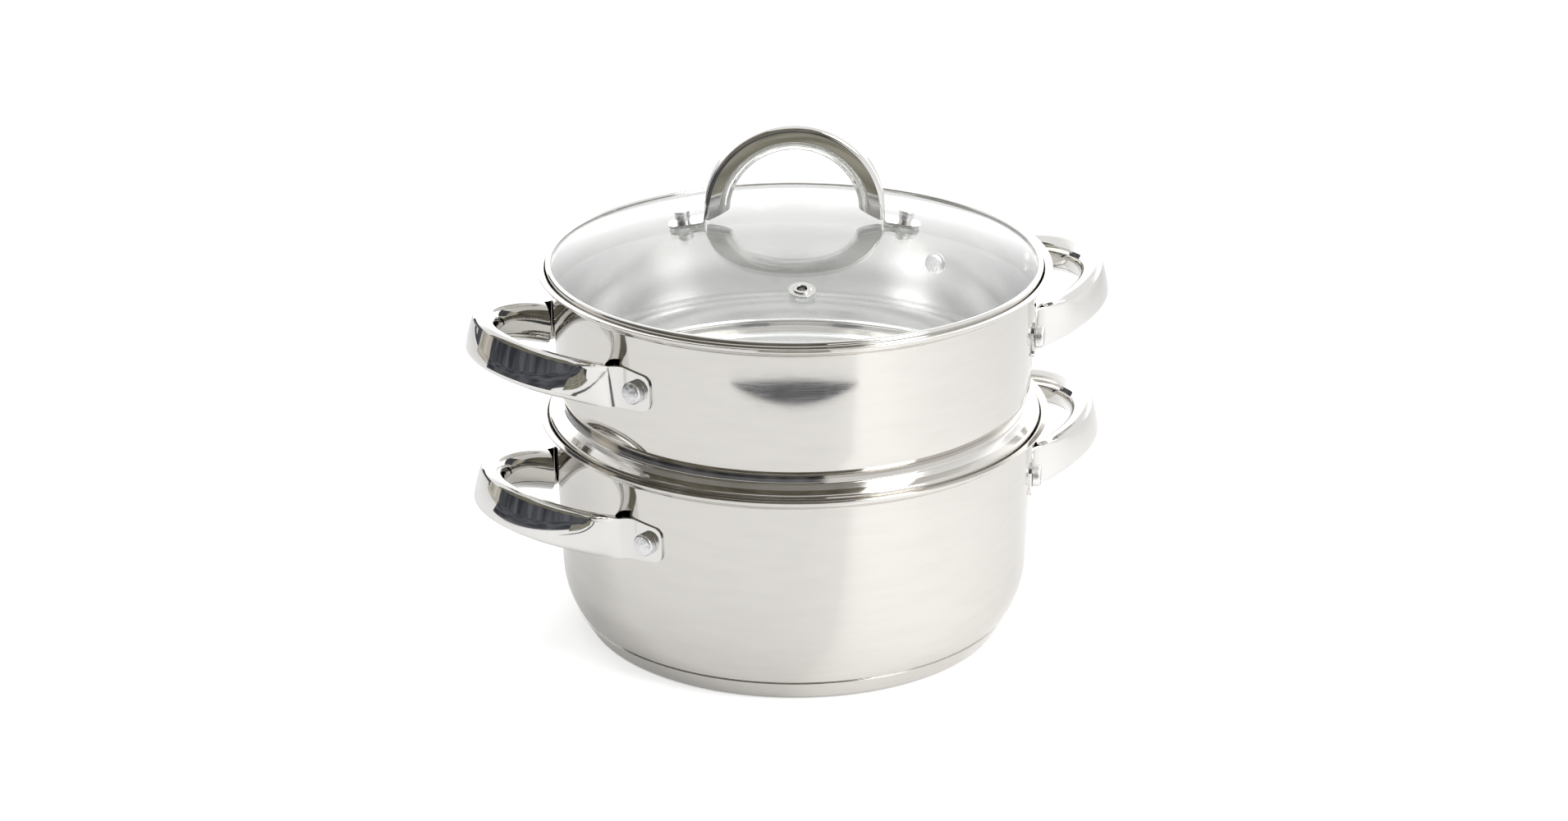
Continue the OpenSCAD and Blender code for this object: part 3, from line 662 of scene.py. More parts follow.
def openSeam(bm, ringX):
    # the narrow gap where the two edges of the rolled sheet meet, along the inner side
    sizes = sideHandle
    limit = legY - sizes["depth"] / 2

    def inside(face):
        middle = face.calc_center_median() - Vector((ringX, 0, 0))
        return middle.to_2d().length < limit or (middle.x < 0 and abs(middle.y) < limit)

    for edge in (-0.5, 0.5):
        cutThrough(bm, (0, 0, edge * sizes["seam"] - sizes["seamDrop"]), (0, 0, 1), inside)
    gone = [f for f in bm.faces if inside(f)
            and abs(f.calc_center_median().z + sizes["seamDrop"]) < sizes["seam"] / 2]
    bmesh.ops.delete(bm, geom=gone, context="FACES")


def makeTab(bm, sign):
    # the web bends out of its leg and lies flat on the wall, round both sides of the rivet
    sizes = sideHandle
    edges = [e for e in bm.edges if e.is_boundary
             and all(abs(v.co.x - bendX) < near["row"]
                     and v.co.y * sign > legY - 2 * sizes["webBend"] for v in e.verts)]
    root = list({v for e in edges for v in e.verts})
    for vert in root:
        vert.co.y = sign * legY
    bent = bmesh.ops.spin(bm, geom=edges + root, cent=(bendX, sign * bendY, 0), axis=(0, 0, -sign),
                          angle=math.pi / 2 - bendAngle, steps=sizes["bendSteps"])
    before = set(bm.verts)
    reach = math.asin(sizes["tabEnd"] / tabRadius) + math.radians(sizes["rivetAngle"])
    bmesh.ops.spin(bm, geom=bent["geom_last"], cent=(0, 0, 0), axis=(0, 0, sign),
                   angle=reach - bendAngle, steps=sizes["tabSteps"])
    # its outline: a straight taper, then two round corners
    rootHalf = sizes["height"] / 2 / math.cos(math.radians(sizes["tilt"]))
    for vert in set(bm.verts) - before:
        angle = math.atan2(abs(vert.co.y), vert.co.x)
        run = (angle - bendAngle) / (reach - bendAngle)
        half = rootHalf + (sizes["tabHeight"] / 2 - rootHalf) * run
        half -= cornerLoss(sizes["tabCorner"], sizes["tabCorner"] - (reach - angle) * tabRadius)
        vert.co.z *= half / rootHalf


def makeSideHandle(name, body, lip, turn, replaced):
    sizes = sideHandle
    ringX = handleWall + sizes["reach"] - legY - bendX
    half, inner = sizes["height"] / 2, legY - sizes["depth"]
    bm = bmesh.new()
    # the rolled section: a flat web outside and a round inner side
    drawWire(bm, [(inner, 0), (inner, half), (legY, half), (legY, -half), (inner, -half),
                  (inner, 0)],
             [sizes["roll"], sizes["webBend"], sizes["webBend"], sizes["roll"]], sectionStep)
    # the web is not quite flat: its middle stands a little proud
    web = max(bm.edges, key=lambda e: min(v.co.x for v in e.verts) + e.calc_length())
    bmesh.ops.subdivide_edges(bm, edges=[web], cuts=sizes["crownCuts"])
    flat = half - sizes["webBend"]
    for vert in bm.verts:
        if vert.co.x > legY - near["row"] and abs(vert.co.z) < flat:
            vert.co.x += sizes["webCrown"] * (1 - (vert.co.z / flat) ** 2)
    moveAll(bm, Matrix.Rotation(-math.pi / 2, 4, "Z"))
    first = bm.edges[:]
    last = onlyEdges(sweepAll(bm, math.pi, sizes["ringSteps"])["geom_last"])
    # two straight legs, a little longer than their tilt needs
    stub = sizes["height"] * math.sin(math.radians(sizes["tilt"]))
    for edges in (first, last):
        for i in range(sizes["legSteps"]):
            row, edges = drawOn(bm, edges)
            bmesh.ops.translate(bm, vec=((-ringX - stub) / sizes["legSteps"], 0, 0), verts=row)
    bmesh.ops.remove_doubles(bm, verts=bm.verts, dist=near["extruded"])
    moveAll(bm, shifted(ringX))
    openSeam(bm, ringX)
    faceOutward(bm, 0)
    moveAll(bm, shifted(bendX) @ Matrix.Rotation(math.radians(-sizes["tilt"]), 4, "Y"))
    # towards its tabs the web turns flat
    for vert in bm.verts:
        side, run = abs(vert.co.y), (vert.co.x - bendX) / sizes["flatFrom"]
        if run < 1 and side > legY - sizes["webBend"] + near["row"]:
            run = max(run, 0)
            side = legY + (side - legY) * run * run * (3 - 2 * run)
            vert.co.y = math.copysign(side, vert.co.y)
    # the rolled sides stop short of the wall, and the web runs on to its bend
    cutAway(bm, (bendX + sizes["endGap"], 0, 0), (-1, 0, 0),
            lambda f: abs(f.calc_center_median().y) < legY - sizes["webBend"] * sizes["endShare"])
    cutAway(bm, (bendX, 0, 0), (-1, 0, 0))
    for sign in (1, -1):
        makeTab(bm, sign)
    bmesh.ops.remove_doubles(bm, verts=bm.verts, dist=near["extruded"])
    moveAll(bm, turned(turn) @ shifted(z=lip - sizes["drop"]))
    piece = finishPiece(name, bm, body, "polished_steel", replaced, sharpDegrees=0)
    thicken(piece, sizes["sheet"], sizes["edge"])


def drawRound(bm, outline, bends, segments=48):
    # a small turned solid from its outline, which runs from axis to axis or closes on itself
    drawWire(bm, outline, bends, stepDegrees=15)
    turnOnAxis(bm, segments)


sideRivet = {"head": 11.0, "height": 4.6, "edge": 1.2, "shank": 6.0, "innerHeight": 2.2,
             "innerEdge": 1.5, "backBend": 0.2, "footBend": 0.3, "crown": 0.55, "dent": 0.3,
             "dentScale": 0.5, "dentShare": 0.7, "topRings": 7}


def rivetGrip():
    inside = handleWall - vessel["sheet"]
    head = sideRivet["head"] / 2
    return tabRadius - math.sqrt(inside ** 2 - head ** 2) + head * draftRise


def makeSideRivets(name, body, lip, turn, replaced):
    sizes = sideRivet
    head, shank, grip = sizes["head"] / 2, sizes["shank"] / 2, rivetGrip()
    rings = sizes["topRings"]
    top = [(head * i / rings, sizes["height"]) for i in range(rings - 1, -1, -1)]
    bm = bmesh.new()
    drawRound(bm, [(0, -grip - sizes["innerHeight"]), (head, -grip - sizes["innerHeight"]),
                   (head, -grip), (shank, -grip), (shank, 0), (head, 0), (head, sizes["height"]),
                   *top],
              [sizes["innerEdge"], sizes["backBend"], 0, 0, sizes["footBend"], sizes["edge"],
               *[0] * (rings - 1)])
    places = [turned(turn + angle) @ shifted(tabRadius, 0, lip - sideHandle["drop"])
              @ Matrix.Rotation(math.pi / 2, 4, "Y")
              for angle in (-sideHandle["rivetAngle"], sideHandle["rivetAngle"])]
    # the press leaves the top of the soft head slightly domed and uneven
    for vert in bm.verts:
        if vert.co.z > sizes["height"] / 2:
            out = vert.co.to_2d().length / head
            vert.co.z += (1 - out ** 2) * sizes["crown"] - sizes["crown"]
    repeatAt(bm, places)
    seed = Vector((turn, lip, 0))
    for vert in bm.verts:
        if vert.co.to_2d().length > tabRadius + sizes["height"] * sizes["dentShare"]:
            away = Vector((vert.co.x, vert.co.y, 0)).normalized()
            vert.co -= away * abs(noise.noise(vert.co * sizes["dentScale"] + seed)) * sizes["dent"]
    finishPiece(name, bm, body, "rivet_aluminium", replaced, smallSharp)


for side, base in {"right": 0.0, "left": 180.0}.items():
    for body, lip, turn in (("pot", pot["height"], base),
                            ("steamer", steamerLip, base + steamer["turn"])):
        makeSideHandle(body + "Handle." + side, body, lip, turn, [body + "_handle_" + side])
        makeSideRivets(body + "Rivets." + side, body, lip, turn, [body + "_rivets_" + side])
print("side handles made")

lid = {"glass": 4.0, "rise": 22.0, "edgeRise": 0.6, "ringSheet": 0.5, "ringWidth": 2.6,
       "ringRise": 2.0, "ringDrop": 4.9, "ringUnder": 1.6, "ringInBend": 1.1, "ringOutBend": 1.3,
       "ringLowBend": 1.0, "ringEdge": 0.15, "ringGap": 0.4, "glassGap": 0.5, "groundEdge": 0.5,
       "groundFrom": 30.0, "domeSteps": 40, "holeSides": 64, "turn": -23.7}
ringOut = stepRadius - vessel["sheet"] - lid["ringGap"]
ringIn = ringOut - lid["ringWidth"]
glassRadius = ringOut - lid["ringSheet"] - lid["glassGap"]
domeRadius = (ringIn ** 2 + lid["rise"] ** 2) / (2 * lid["rise"])
domeMiddle = steamerLip + lid["edgeRise"] - (domeRadius - lid["rise"])
domeTop = domeMiddle + domeRadius
hollowRadius = domeRadius - lid["glass"]


def onDome(radius, turn=0.0):
    # stands a piece on the glass, with its own z square to it
    return (shifted(z=domeMiddle) @ turned(lid["turn"] + turn)
            @ Matrix.Rotation(math.asin(radius / domeRadius), 4, "Y") @ shifted(z=domeRadius))


def hollowGap(radius):
    # how far a flat washer of this radius stands off the hollow side of the glass
    return hollowRadius - math.sqrt(hollowRadius ** 2 - radius ** 2)


post = {"radius": 54.4, "head": 8.0, "headHeight": 4.6, "neck": 6.6, "neckHeight": 1.3, "shaft": 5.0,
        "edge": 0.7, "tailBend": 0.2, "neckBend": 0.4, "waist": 0.25, "waistShare": 0.55,
        "waistBend": 4.0, "tail": 8.4, "tailHeight": 1.5, "glassHole": 7.4, "play": 0.05}
seal = {"width": 11.4, "thick": 1.2, "footBend": 0.2, "edge": 0.35, "under": 13.0,
        "underSeal": 1.0, "underWasher": 0.8, "underEdge": 0.25}
vent = {"radius": 82.5, "turn": -88.0, "glassHole": 9.0, "bore": 4.8, "tube": 6.4, "brim": 13.0,
        "sheet": 0.5, "crown": 8.6, "crownHeight": 0.9, "curl": 10.6, "grommet": 12.2,
        "grommetThick": 0.9, "bends": (0.5, 0.2, 0.15, 0, 0, 0.2, 0.25, 0.5, 0.5, 0.5),
        "grommetBends": (0, 0.2, 0.2, 0, 0, 0.3, 0.3, 0), "segments": 64}
postPlaces = [onDome(post["radius"]), onDome(post["radius"], 180.0)]
ventPlace = onDome(vent["radius"], vent["turn"])


def makeGlass():
    # the dome in section: over the top, down the ground edge and back under
    seat = seatPoint(steamerLip)
    ground = seat + leftOf(heading(coneHeading)) * (lid["ringSheet"] + lid["glassGap"])
    corner = crossing(ground, coneHeading, (glassRadius, 0), 90)
    middle = Vector((0, domeMiddle))
    # where the ground edge meets the hollow side
    run = (ground - middle).dot(heading(coneHeading))
    run = math.sqrt(run ** 2 - (ground - middle).length_squared + hollowRadius ** 2) - run
    back = ground + heading(coneHeading) * run
    under = math.atan2(back[1] - domeMiddle, back[0])
    bm = bmesh.new()
    crown = bm.verts.new((0, 0, domeMiddle + domeRadius))
    over = bmesh.ops.spin(bm, geom=[crown], cent=(0, 0, domeMiddle), axis=(0, 1, 0),
                          angle=math.asin(glassRadius / domeRadius), steps=lid["domeSteps"])
    tip = onlyVerts(over["geom_last"])[0]
    for x, z in (corner, back):
        tip = bmesh.ops.extrude_vert_indiv(bm, verts=[tip])["verts"][0]
        tip.co = (x, 0, z)
    bmesh.ops.spin(bm, geom=[tip], cent=(0, 0, domeMiddle), axis=(0, -1, 0),
                   angle=math.pi / 2 - under, steps=lid["domeSteps"])
    turnOnAxis(bm)
    groundEdges = [e for e in bm.edges if e.calc_face_angle(0) > math.radians(lid["groundFrom"])]
    bmesh.ops.bevel(bm, geom=groundEdges, offset=lid["groundEdge"], affect="EDGES", segments=3,
                    profile=0.5, material=-1, clamp_overlap=True)
    blank = inMetres("glassBlank", bm)
    drill = bmesh.new()
    for place, bore in ((postPlaces[0], post["glassHole"]), (postPlaces[1], post["glassHole"]),
                        (ventPlace, vent["glassHole"])):
        bmesh.ops.create_cone(drill, cap_ends=True, segments=lid["holeSides"], radius1=bore / 2,
                              radius2=bore / 2, depth=4 * lid["glass"], matrix=place)
    tool = inMetres("glassDrill", drill)
    cut = blank.modifiers.new("holes", "BOOLEAN")
    cut.operation, cut.solver, cut.object = "DIFFERENCE", "EXACT", tool
    bpy.context.view_layer.update()
    pierced = bmesh.new()
    pierced.from_mesh(blank.evaluated_get(bpy.context.evaluated_depsgraph_get()).to_mesh())
    for spent in (blank, tool):
        bpy.data.objects.remove(spent)
    bmesh.ops.scale(pierced, vec=(1 / mm, 1 / mm, 1 / mm), verts=pierced.verts)
    bmesh.ops.remove_doubles(pierced, verts=pierced.verts, dist=near["turned"])
    bmesh.ops.recalc_face_normals(pierced, faces=pierced.faces)
    finishPiece("lidGlass", pierced, "lid", "lid_glass", ["lid_glass"])


def makeRing():
    seat = seatPoint(steamerLip)
    low, top = steamerLip - lid["ringDrop"], steamerLip + lid["ringRise"]
    foot = crossing(seat, coneHeading, (0, low), 0)
    points = [(ringIn, steamerLip + lid["edgeRise"]), (ringIn, top), (ringOut, top),
              crossing((ringOut, 0), 90, seat, coneHeading), foot, foot - Vector((lid["ringUnder"], 0))]
    bends = [lid["ringInBend"], lid["ringOutBend"], lid["ringLowBend"], lid["ringLowBend"]]
    inner, innerBends = besideLine(points, bends, -lid["ringSheet"])
    bm = bmesh.new()
    drawWire(bm, [*points, *inner[::-1], points[0]],
             [*bends, lid["ringEdge"], lid["ringEdge"], *innerBends[::-1], 0])
    turnOnAxis(bm)
    keepFlats(finishPiece("lidRing", bm, "lid", "polished_steel", ["lid_ring"]))


lidHandle = {"arch": 44.8, "grip": 48.3, "width": 13.0, "depth": 13.0, "sheet": 1.0, "webBend": 2.8,
             "roll": 5.6, "seam": 0.4, "footBend": 1.3, "cutRadius": 83.0, "cutRise": 11.8,
             "footEnd": 7.6, "footCorner": 4.6, "edge": 0.2, "legTurn": 6.0, "cutShare": 0.6,
             "webShare": 0.7, "archSteps": 90, "bendSteps": 8, "footSteps": 28}


def makeLidHandle():
    sizes = lidHandle
    arch, half = sizes["arch"], sizes["width"] / 2
    archMiddle = domeTop + sizes["grip"] - arch
    bm = bmesh.new()
    # the rolled section, open along the middle of its inner side
    inner = arch - sizes["depth"]
    drawWire(bm, [(inner, sizes["seam"] / 2), (inner, half), (arch, half), (arch, -half),
                  (inner, -half), (inner, -sizes["seam"] / 2)],
             [sizes["roll"], sizes["webBend"], sizes["webBend"], sizes["roll"]], sectionStep)
    start = math.radians(sizes["legTurn"])
    moveAll(bm, Matrix.Rotation(-start, 4, "Y") @ Matrix.Rotation(-math.pi / 2, 4, "X"))
    first = bm.edges[:]
    last = onlyEdges(sweepAll(bm, math.pi - 2 * start, sizes["archSteps"], (0, -1, 0))["geom_last"])
    # the foot's upper face, square to the rivet
    lean = math.degrees(math.asin(post["radius"] / domeRadius))
    middle = Vector((0, domeMiddle))
    onGlass = middle + heading(90 - lean) * domeRadius
    upper = onGlass + heading(90 - lean) * (seal["thick"] + sizes["sheet"])
    corner = crossing(upper, -lean, (arch, 0), 90)
    bendTurn = math.radians(90 - lean)
    bendRun = sizes["footBend"] * math.tan(bendTurn / 2)
    bendStart = corner[1] + bendRun - archMiddle
    footLength = (upper - corner).dot(heading(-lean)) + sizes["footEnd"] - bendRun
    cutMiddle = domeTop + sizes["cutRise"] - sizes["cutRadius"] - archMiddle
    for edges, side in ((first, 1), (last, -1)):
        # a leg: its web goes down to the bend, and its rolled sides end on the slanting cut
        for vert in drawOn(bm, edges)[0]:
            radius = math.hypot(vert.co.x, vert.co.z)
            slant = cutMiddle + math.sqrt(sizes["cutRadius"] ** 2 - radius ** 2)
            flange = radius < arch - sizes["webBend"] * sizes["cutShare"]
            height = max(slant, bendStart) if flange else bendStart
            vert.co.x = side * math.sqrt(radius ** 2 - max(height, 0) ** 2)
            vert.co.z = height
        webFrom = arch - sizes["webBend"] * sizes["webShare"]
        web = [e for e in bm.edges if e.is_boundary
               and all(abs(v.co.z - bendStart) < near["extruded"] and v.co.x * side > webFrom
                       for v in e.verts)]
        root = list({v for e in web for v in e.verts})
        for vert in root:
            vert.co.x = side * arch
        widest = max(abs(v.co.y) for v in root)
        for vert in root:
            vert.co.y *= half / widest
        bent = bmesh.ops.spin(bm, geom=web + root, axis=(0, -side, 0), angle=bendTurn,
                              cent=(side * (arch + sizes["footBend"]), 0, bendStart),
                              steps=sizes["bendSteps"])
        foot = onlyEdges(bent["geom_last"])
        steps, rounding = sizes["footSteps"], sizes["footCorner"]
        away = Vector((side * heading(-lean)[0], 0, heading(-lean)[1]))
        for i in range(1, steps + 1):
            row, foot = drawOn(bm, foot)
            bmesh.ops.translate(bm, vec=away * footLength / steps, verts=row)
            narrow = cornerLoss(rounding, rounding - footLength * (1 - i / steps))
            if narrow:
                wide = max(abs(v.co.y) for v in row)
                for vert in row:
                    vert.co.y *= (half - narrow) / wide
    bmesh.ops.remove_doubles(bm, verts=bm.verts, dist=near["extruded"])
    faceOutward(bm, 2)
    moveAll(bm, turned(lid["turn"]) @ shifted(z=archMiddle))
    piece = finishPiece("lidHandle", bm, "lid", "polished_steel", ["lid_handle"], sharpDegrees=0)
    thicken(piece, sizes["sheet"], sizes["edge"])


def makeLidRound(name, outline, bends, places, slotName, node, segments=48):
    bm = bmesh.new()
    drawRound(bm, outline, bends, segments)
    repeatAt(bm, places)
    finishPiece(name, bm, "lid", slotName, [node], smallSharp)


def makePosts():
    neckZ = seal["thick"] + lidHandle["sheet"]
    headZ = neckZ + post["neckHeight"]
    topZ = headZ + post["headHeight"]
    tailZ = -lid["glass"] - hollowGap(seal["under"] / 2) - seal["underSeal"] - seal["underWasher"]
    head, shaft, tail, neck = (post[part] / 2 for part in ("head", "shaft", "tail", "neck"))
    waistZ = headZ + post["headHeight"] * post["waistShare"]
    outline = [(0, tailZ - post["tailHeight"]), (tail, tailZ - post["tailHeight"]), (tail, tailZ),
               (shaft, tailZ), (shaft, neckZ), (neck, neckZ), (neck, headZ),
               (head, headZ + post["edge"]), (head - post["waist"], waistZ), (head, topZ), (0, topZ)]
    bends = [post["edge"], post["tailBend"], 0, 0, 0, post["neckBend"], post["neckBend"],
             post["waistBend"], post["edge"]]
    makeLidRound("lidPosts", outline, bends, postPlaces, "rivet_aluminium", "lid_rivets")


def makeSeals():
    bore = post["shaft"] / 2 + post["play"]
    sleeve = post["glassHole"] / 2 - 2 * post["play"]
    sleeveZ = seal["underSeal"] - lid["glass"]
    outer = seal["width"] / 2
    makeLidRound("upperSeals", [(bore, 0), (bore, sleeveZ), (sleeve, sleeveZ), (sleeve, 0),
                                (outer, 0), (outer, seal["thick"]), (bore, seal["thick"]), (bore, 0)],
                 [0, 0, 0, seal["footBend"], seal["edge"], 0], postPlaces,
                 "silicone_seal", "lid_upper_seals")
    outer = seal["under"] / 2
    top = -lid["glass"] - hollowGap(outer)
    for name, thick, slotName, node in (
            ("lowerSeals", seal["underSeal"], "silicone_seal", "lid_lower_seals"),
            ("lowerWashers", seal["underWasher"], "polished_steel", "lid_lower_washers")):
        low = top - thick
        makeLidRound(name, [(bore, top), (bore, low), (outer, low), (outer, top), (bore, top)],
                     [0, seal["underEdge"], seal["underEdge"]], postPlaces, slotName, node)
        top = low


def makeVent():
    bore, tube, brim, crown, curl, rim, hole = (
        vent[part] / 2 for part in ("bore", "tube", "brim", "crown", "curl", "grommet", "glassHole"))
    curlZ = -lid["glass"] - hollowGap(rim) - vent["grommetThick"]
    curlEnd = curlZ - vent["sheet"]
    brimZ = vent["grommetThick"]
    brimTop = brimZ + vent["sheet"]
    crownZ = brimTop + vent["crownHeight"]
    outline = [(bore, 0), (bore, curlEnd), (curl, curlEnd), (curl, curlZ), (tube, curlZ),
               (tube, brimZ), (brim, brimZ), (brim, brimTop), (crown, brimTop), (crown, crownZ),
               (bore, crownZ), (bore, 0)]
    makeLidRound("ventEyelet", outline, vent["bends"], [ventPlace], "polished_steel", "vent_eyelet",
                 vent["segments"])
    hole, inside = hole - 2 * post["play"], tube + post["play"]
    lowZ = curlZ + vent["grommetThick"]
    outline = [(inside, 0), (inside, curlZ), (rim, curlZ), (rim, lowZ), (hole, lowZ), (hole, 0),
               (rim, 0), (rim, brimZ), (inside, brimZ), (inside, 0)]
    makeLidRound("ventGrommet", outline, vent["grommetBends"], [ventPlace], "silicone_seal",
                 "vent_grommet", vent["segments"])


makeGlass()
makeRing()
makeLidHandle()
makePosts()
makeSeals()
makeVent()
print("lid made")

# the disc between the pot and its cap keeps its solid and gets its finish
for slot in bpy.data.objects["base_core"].material_slots:
    slot.material = coreMetal

# azimuths are seen from the object: 0 is towards the camera and 90 is to the camera's right
studio = {"floorSize": 60.0, "floorColour": (0.9, 0.9, 0.9), "floorRoughness": 0.9,
          "floorLift": 0.42, "farLift": 0.55, "liftFrom": 1.2, "liftTo": 3.0, "white": 1.0,
          "ambient": 0.5, "cameraAzimuth": -114.13}
lamps = {"top": {"azimuth": 180.0, "elevation": 84.0, "distance": 2.2, "size": 1.9, "power": 16.5,
                 "mirrored": False},
         "key": {"azimuth": 50.0, "elevation": 46.0, "distance": 2.4, "size": 1.1, "power": 20.0,
                 "mirrored": True},
         "fill": {"azimuth": -50.0, "elevation": 42.0, "distance": 2.6, "size": 1.4, "power": 17.0,
                  "mirrored": False}}
# the sides of the room, which only the gloss of the metal and the glass shows: glowing cards that no
# lamp lights, whose colours are painted light and shade of the room, darkest on its unlit side
roomWalls = {"roomFront": {"azimuths": (-92.0, 14.0), "floorFrom": 0.64, "elevations": (0.0, 18.0),
                           "colour": (0.13, 0.136, 0.155), "darker": (0.04, 0.043, 0.049)},
             "roomSide": {"azimuths": (-113.0, -92.0), "floorFrom": 1.2, "elevations": (0.0, 18.0),
                          "colour": (0.7, 0.66, 0.58), "darker": (0.42, 0.4, 0.35)},
             "roomLeft": {"azimuths": (-146.0, -113.0), "floorFrom": 1.6, "elevations": (0.0, 18.0),
                          "colour": (0.12, 0.125, 0.14), "darker": (0.05, 0.05, 0.055)},
             "roomHigh": {"azimuths": (-100.0, 40.0), "floorFrom": 2.3, "elevations": (18.0, 70.0),
                          "colour": (0.24, 0.225, 0.185), "darker": (0.14, 0.13, 0.105)}}
roomStreaks = (3.5, 3.5, 0.4)
roomSteps = {"across": 48, "upward": 12}
# the lit backdrop behind the object, brightest low down and in its middle
backdrop = {"azimuths": (108.0, 238.0), "height": 2.3, "fadeFrom": 0.5, "brightWithin": 28.0,
            "bright": 2.3, "plain": 1.0}
roomRadius = 2.3
# things on the table in front, as glowing cards only the gloss shows: a dark crescent, the grey floor
# past the table, and a painted pool of light
darkCrescent = {"halfWidth": 0.217, "near": 0.446, "far": 0.481, "ends": 0.421, "steps": 32,
                "colour": (0.12, 0.124, 0.14)}
tableEnd = {"from": 0.54, "to": 1.0, "halfWidth": 0.15, "colour": (0.38, 0.365, 0.305),
            "darker": (0.2, 0.19, 0.155), "streaks": (20.0, 20.0, 1.0)}
lightPool = {"corner": (0.033, 0.115), "azimuth": 32.0, "size": (0.75, 1.1), "extra": 0.3,
             "steps": ((0.0, 0.0), (0.08, 0.25), (0.14, 1.0), (0.3, 0.8), (0.5, 0.5), (1.0, 0.0)),
             "before": 0.1, "colour": (1.0, 0.985, 0.965)}
cardRise = 0.0004        # how far the flat cards lie over the floor


def aimed(azimuth, elevation, distance):
    turn = math.radians(studio["cameraAzimuth"] + azimuth)
    rise = math.radians(elevation)
    flat = math.cos(rise)
    return Vector((math.cos(turn) * flat, math.sin(turn) * flat, math.sin(rise))) * distance


def onFloor(azimuth, layer=1):
    # turns x on the floor away from the object, in the direction of an azimuth
    return shifted(z=cardRise * layer) @ turned(studio["cameraAzimuth"] + azimuth)


def flatCard(halfLength, halfWidth, place):
    bm = bmesh.new()
    bmesh.ops.create_grid(bm, x_segments=1, y_segments=1, size=1.0)
    bmesh.ops.scale(bm, vec=(halfLength, halfWidth, 1), verts=bm.verts)
    moveAll(bm, place)
    return bm


def onlyForGloss(item, colour):
    material, tree, shader = newMaterial(item.name)
    glow = addNode(tree, "ShaderNodeEmission")
    glow.inputs["Color"].default_value = (*colour, 1)
    showAs(tree, glow.outputs[0])
    tree.nodes.remove(shader)
    material.cycles.emission_sampling = "NONE"
    item.data.materials.append(material)
    item.visible_camera = item.visible_diffuse = item.visible_shadow = False
    item.visible_transmission = False
    return tree, glow


def streaked(tree, glow, look, streaks):
    cloud = noiseNode(tree, stretchBy(tree, objectPoint(tree), streaks), 1.0, 3.0)
    tintBetween(tree, ramp(tree, cloud, *noiseRange["streaks"], 0.0, 1.0), look["darker"],
                look["colour"], glow.inputs["Color"])


def makeRoomWall(name, wall):
    # along the floor, then up in an arc, then round the object
    (left, right), (low, high) = wall["azimuths"], wall["elevations"]
    bm = bmesh.new()
    tip = bm.verts.new(aimed(left, low, wall["floorFrom"]))
    foot = bmesh.ops.extrude_vert_indiv(bm, verts=[tip])["verts"][0]
    foot.co = aimed(left, low, roomRadius)
    bmesh.ops.spin(bm, geom=[foot], cent=(0, 0, 0), axis=-aimed(left + 90, 0, 1),
                   angle=math.radians(high - low), steps=roomSteps["upward"])
    moveAll(bm, shifted(z=cardRise))
    sweepAll(bm, math.radians(right - left), roomSteps["across"])
    streaked(*onlyForGloss(meshObject(name, bm), wall["colour"]), wall, roomStreaks)


def makeBackdrop():
    left, right = backdrop["azimuths"]
    bm = bmesh.new()
    foot = bm.verts.new(aimed(left, 0, roomRadius))
    top = bmesh.ops.extrude_vert_indiv(bm, verts=[foot])["verts"][0]
    top.co.z += backdrop["height"]
    sweepAll(bm, math.radians(right - left), roomSteps["across"])
    tree, glow = onlyForGloss(meshObject("backdrop", bm), (1, 1, 1))
    height = axesOf(tree, objectPoint(tree))[2]
    upward = ramp(tree, height, backdrop["fadeFrom"], backdrop["height"], 1.0, 0.0)
    # how far towards its middle a place lies, in metres
    along = addNode(tree, "ShaderNodeVectorMath", operation="DOT_PRODUCT")
    along.inputs[1].default_value = aimed((left + right) / 2, 0, 1)
    tree.links.new(objectPoint(tree), along.inputs[0])
    edge, full = (roomRadius * math.cos(math.radians(aside))
                  for aside in ((right - left) / 2, backdrop["brightWithin"]))
    sideways = ramp(tree, along.outputs["Value"], edge, full, 0.0, 1.0)
    tree.links.new(ramp(tree, mathNode(tree, "MULTIPLY", upward, sideways), 0.0, 1.0,
                        backdrop["plain"], backdrop["bright"]), glow.inputs["Strength"])


def makeDarkCrescent():
    bm = bmesh.new()
    bmesh.ops.create_grid(bm, x_segments=1, y_segments=darkCrescent["steps"], size=1.0)
    for vert in bm.verts:
        side = vert.co.y
        apex = darkCrescent["near" if vert.co.x < 0 else "far"]
        vert.co.x = apex + (darkCrescent["ends"] - apex) * side ** 2
        vert.co.y = side * darkCrescent["halfWidth"]
    moveAll(bm, onFloor(0, 2))
    onlyForGloss(meshObject("darkCrescent", bm), darkCrescent["colour"])


def makeTableEnd():
    depth = (tableEnd["to"] - tableEnd["from"]) / 2
    bm = flatCard(depth, tableEnd["halfWidth"], onFloor(0, 2) @ shifted(tableEnd["from"] + depth))
    streaked(*onlyForGloss(meshObject("tableEnd", bm), tableEnd["colour"]), tableEnd,
             tableEnd["streaks"])


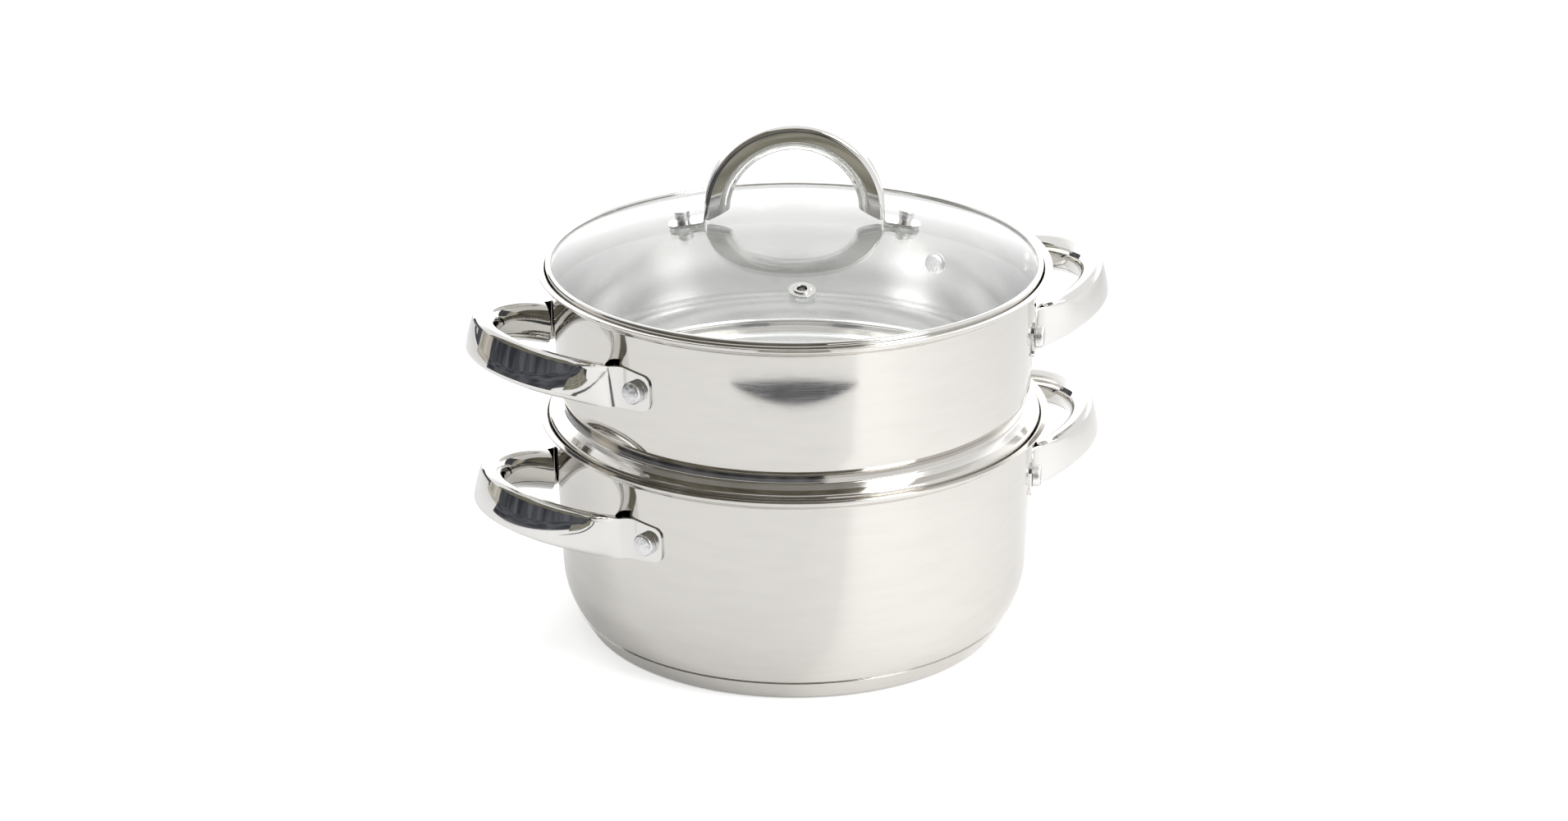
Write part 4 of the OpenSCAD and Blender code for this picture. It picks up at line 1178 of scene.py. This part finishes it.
def makeLightPool():
    # a painted pool of light on the floor: the card glows by itself, and no lamp lights it
    # it begins along a line and fades to the right
    (width, length), before = lightPool["size"], lightPool["before"]
    bm = flatCard(length / 2, (width + before) / 2, shifted(length / 4, (width - before) / 2))
    item = meshObject("lightPool", bm)
    aside, ahead = lightPool["corner"]
    item.matrix_world = onFloor(0) @ shifted(ahead, aside) @ turned(lightPool["azimuth"])
    tree, glow = onlyForGloss(item, lightPool["colour"])
    across = axesOf(tree, objectPoint(tree))[1]
    level = addNode(tree, "ShaderNodeFloatCurve")
    tree.links.new(ramp(tree, across, -before, width, 0.0, 1.0), level.inputs["Value"])
    curve = level.mapping.curves[0]
    for place, value in lightPool["steps"][1:-1]:
        curve.points.new(place, value)
    for end in (0, -1):
        curve.points[end].location = lightPool["steps"][end]
    level.mapping.update()
    # it adds to what the floor under it shows
    tree.links.new(mathNode(tree, "MULTIPLY", level.outputs[0], lightPool["extra"]),
                   glow.inputs["Strength"])
    clear = addNode(tree, "ShaderNodeBsdfTransparent")
    both = addNode(tree, "ShaderNodeAddShader")
    tree.links.new(clear.outputs[0], both.inputs[0])
    tree.links.new(glow.outputs[0], both.inputs[1])
    showAs(tree, both.outputs[0])


def makeFloor():
    half = studio["floorSize"] / 2
    floor = meshObject("floor", flatCard(half, half, shifted()))
    material, tree, shader = newMaterial("paleFloor")
    shader.inputs["Base Color"].default_value = (*studio["floorColour"], 1)
    shader.inputs["Roughness"].default_value = studio["floorRoughness"]
    shader.inputs["Specular IOR Level"].default_value = 0.0
    # the camera, straight or through the glass, sees the floor a little lighter, with its shadow,
    # and far away, in the metal too, it turns as white as what lies behind it
    shader.inputs["Emission Color"].default_value = (1, 1, 1, 1)
    seen = rayIs(tree, "Is Camera Ray", "Is Transmission Ray")
    mirrored = rayIs(tree, "Is Camera Ray", "Is Transmission Ray", "Is Glossy Ray")
    away = addNode(tree, "ShaderNodeVectorMath", operation="LENGTH")
    tree.links.new(objectPoint(tree), away.inputs[0])
    far = ramp(tree, away.outputs["Value"], studio["liftFrom"], studio["liftTo"], 0.0,
               studio["farLift"])
    lift = mathNode(tree, "ADD", mathNode(tree, "MULTIPLY", seen, studio["floorLift"]),
                    mathNode(tree, "MULTIPLY", mirrored, far))
    tree.links.new(lift, shader.inputs["Emission Strength"])
    material.cycles.emission_sampling = "NONE"
    floor.data.materials.append(material)


def makeWorld():
    world = bpy.data.worlds.new("studio")
    bpy.context.scene.world = world
    world.use_nodes = True
    tree = world.node_tree
    background = tree.nodes["Background"]
    background.inputs["Color"].default_value = (1, 1, 1, 1)
    seen = rayIs(tree, "Is Camera Ray", "Is Glossy Ray", "Is Transmission Ray")
    tree.links.new(ramp(tree, seen, 0.0, 1.0, studio["ambient"], studio["white"]),
                   background.inputs["Strength"])


def makeLamps():
    for name, lamp in lamps.items():
        data = bpy.data.lights.new(name, "AREA")
        data.shape, data.size, data.energy = "SQUARE", lamp["size"], lamp["power"]
        item = bpy.data.objects.new(name, data)
        bpy.context.scene.collection.objects.link(item)
        item.location = aimed(lamp["azimuth"], lamp["elevation"], lamp["distance"])
        item.rotation_mode = "QUATERNION"
        item.rotation_quaternion = (-item.location).to_track_quat("-Z", "Y")
        item.visible_camera, item.visible_glossy = False, lamp["mirrored"]


view = {"from": (-0.6599, -1.4732, 0.7426), "to": (-0.00334, 0.00149, 0.10964), "lens": 78.85,
        "sensor": 36.0, "aside": -0.0015, "nearest": 0.05, "furthest": 30.0}


def makeCamera():
    data = bpy.data.cameras.new("camera")
    data.sensor_width, data.lens = view["sensor"], view["lens"]
    data.clip_start, data.clip_end = view["nearest"], view["furthest"]
    camera = bpy.data.objects.new("camera", data)
    bpy.context.scene.collection.objects.link(camera)
    place, aim = Vector(view["from"]), Vector(view["to"])
    camera.rotation_mode = "QUATERNION"
    camera.rotation_quaternion = (aim - place).to_track_quat("-Z", "Y")
    camera.location = place + camera.rotation_quaternion @ Vector((view["aside"], 0, 0))
    bpy.context.scene.camera = camera


for name, wall in roomWalls.items():
    makeRoomWall(name, wall)
makeBackdrop()
makeDarkCrescent()
makeTableEnd()
makeLightPool()
makeFloor()
makeWorld()
makeLamps()
makeCamera()
bpy.context.scene.view_settings.view_transform = "Standard"
print("studio and camera made")
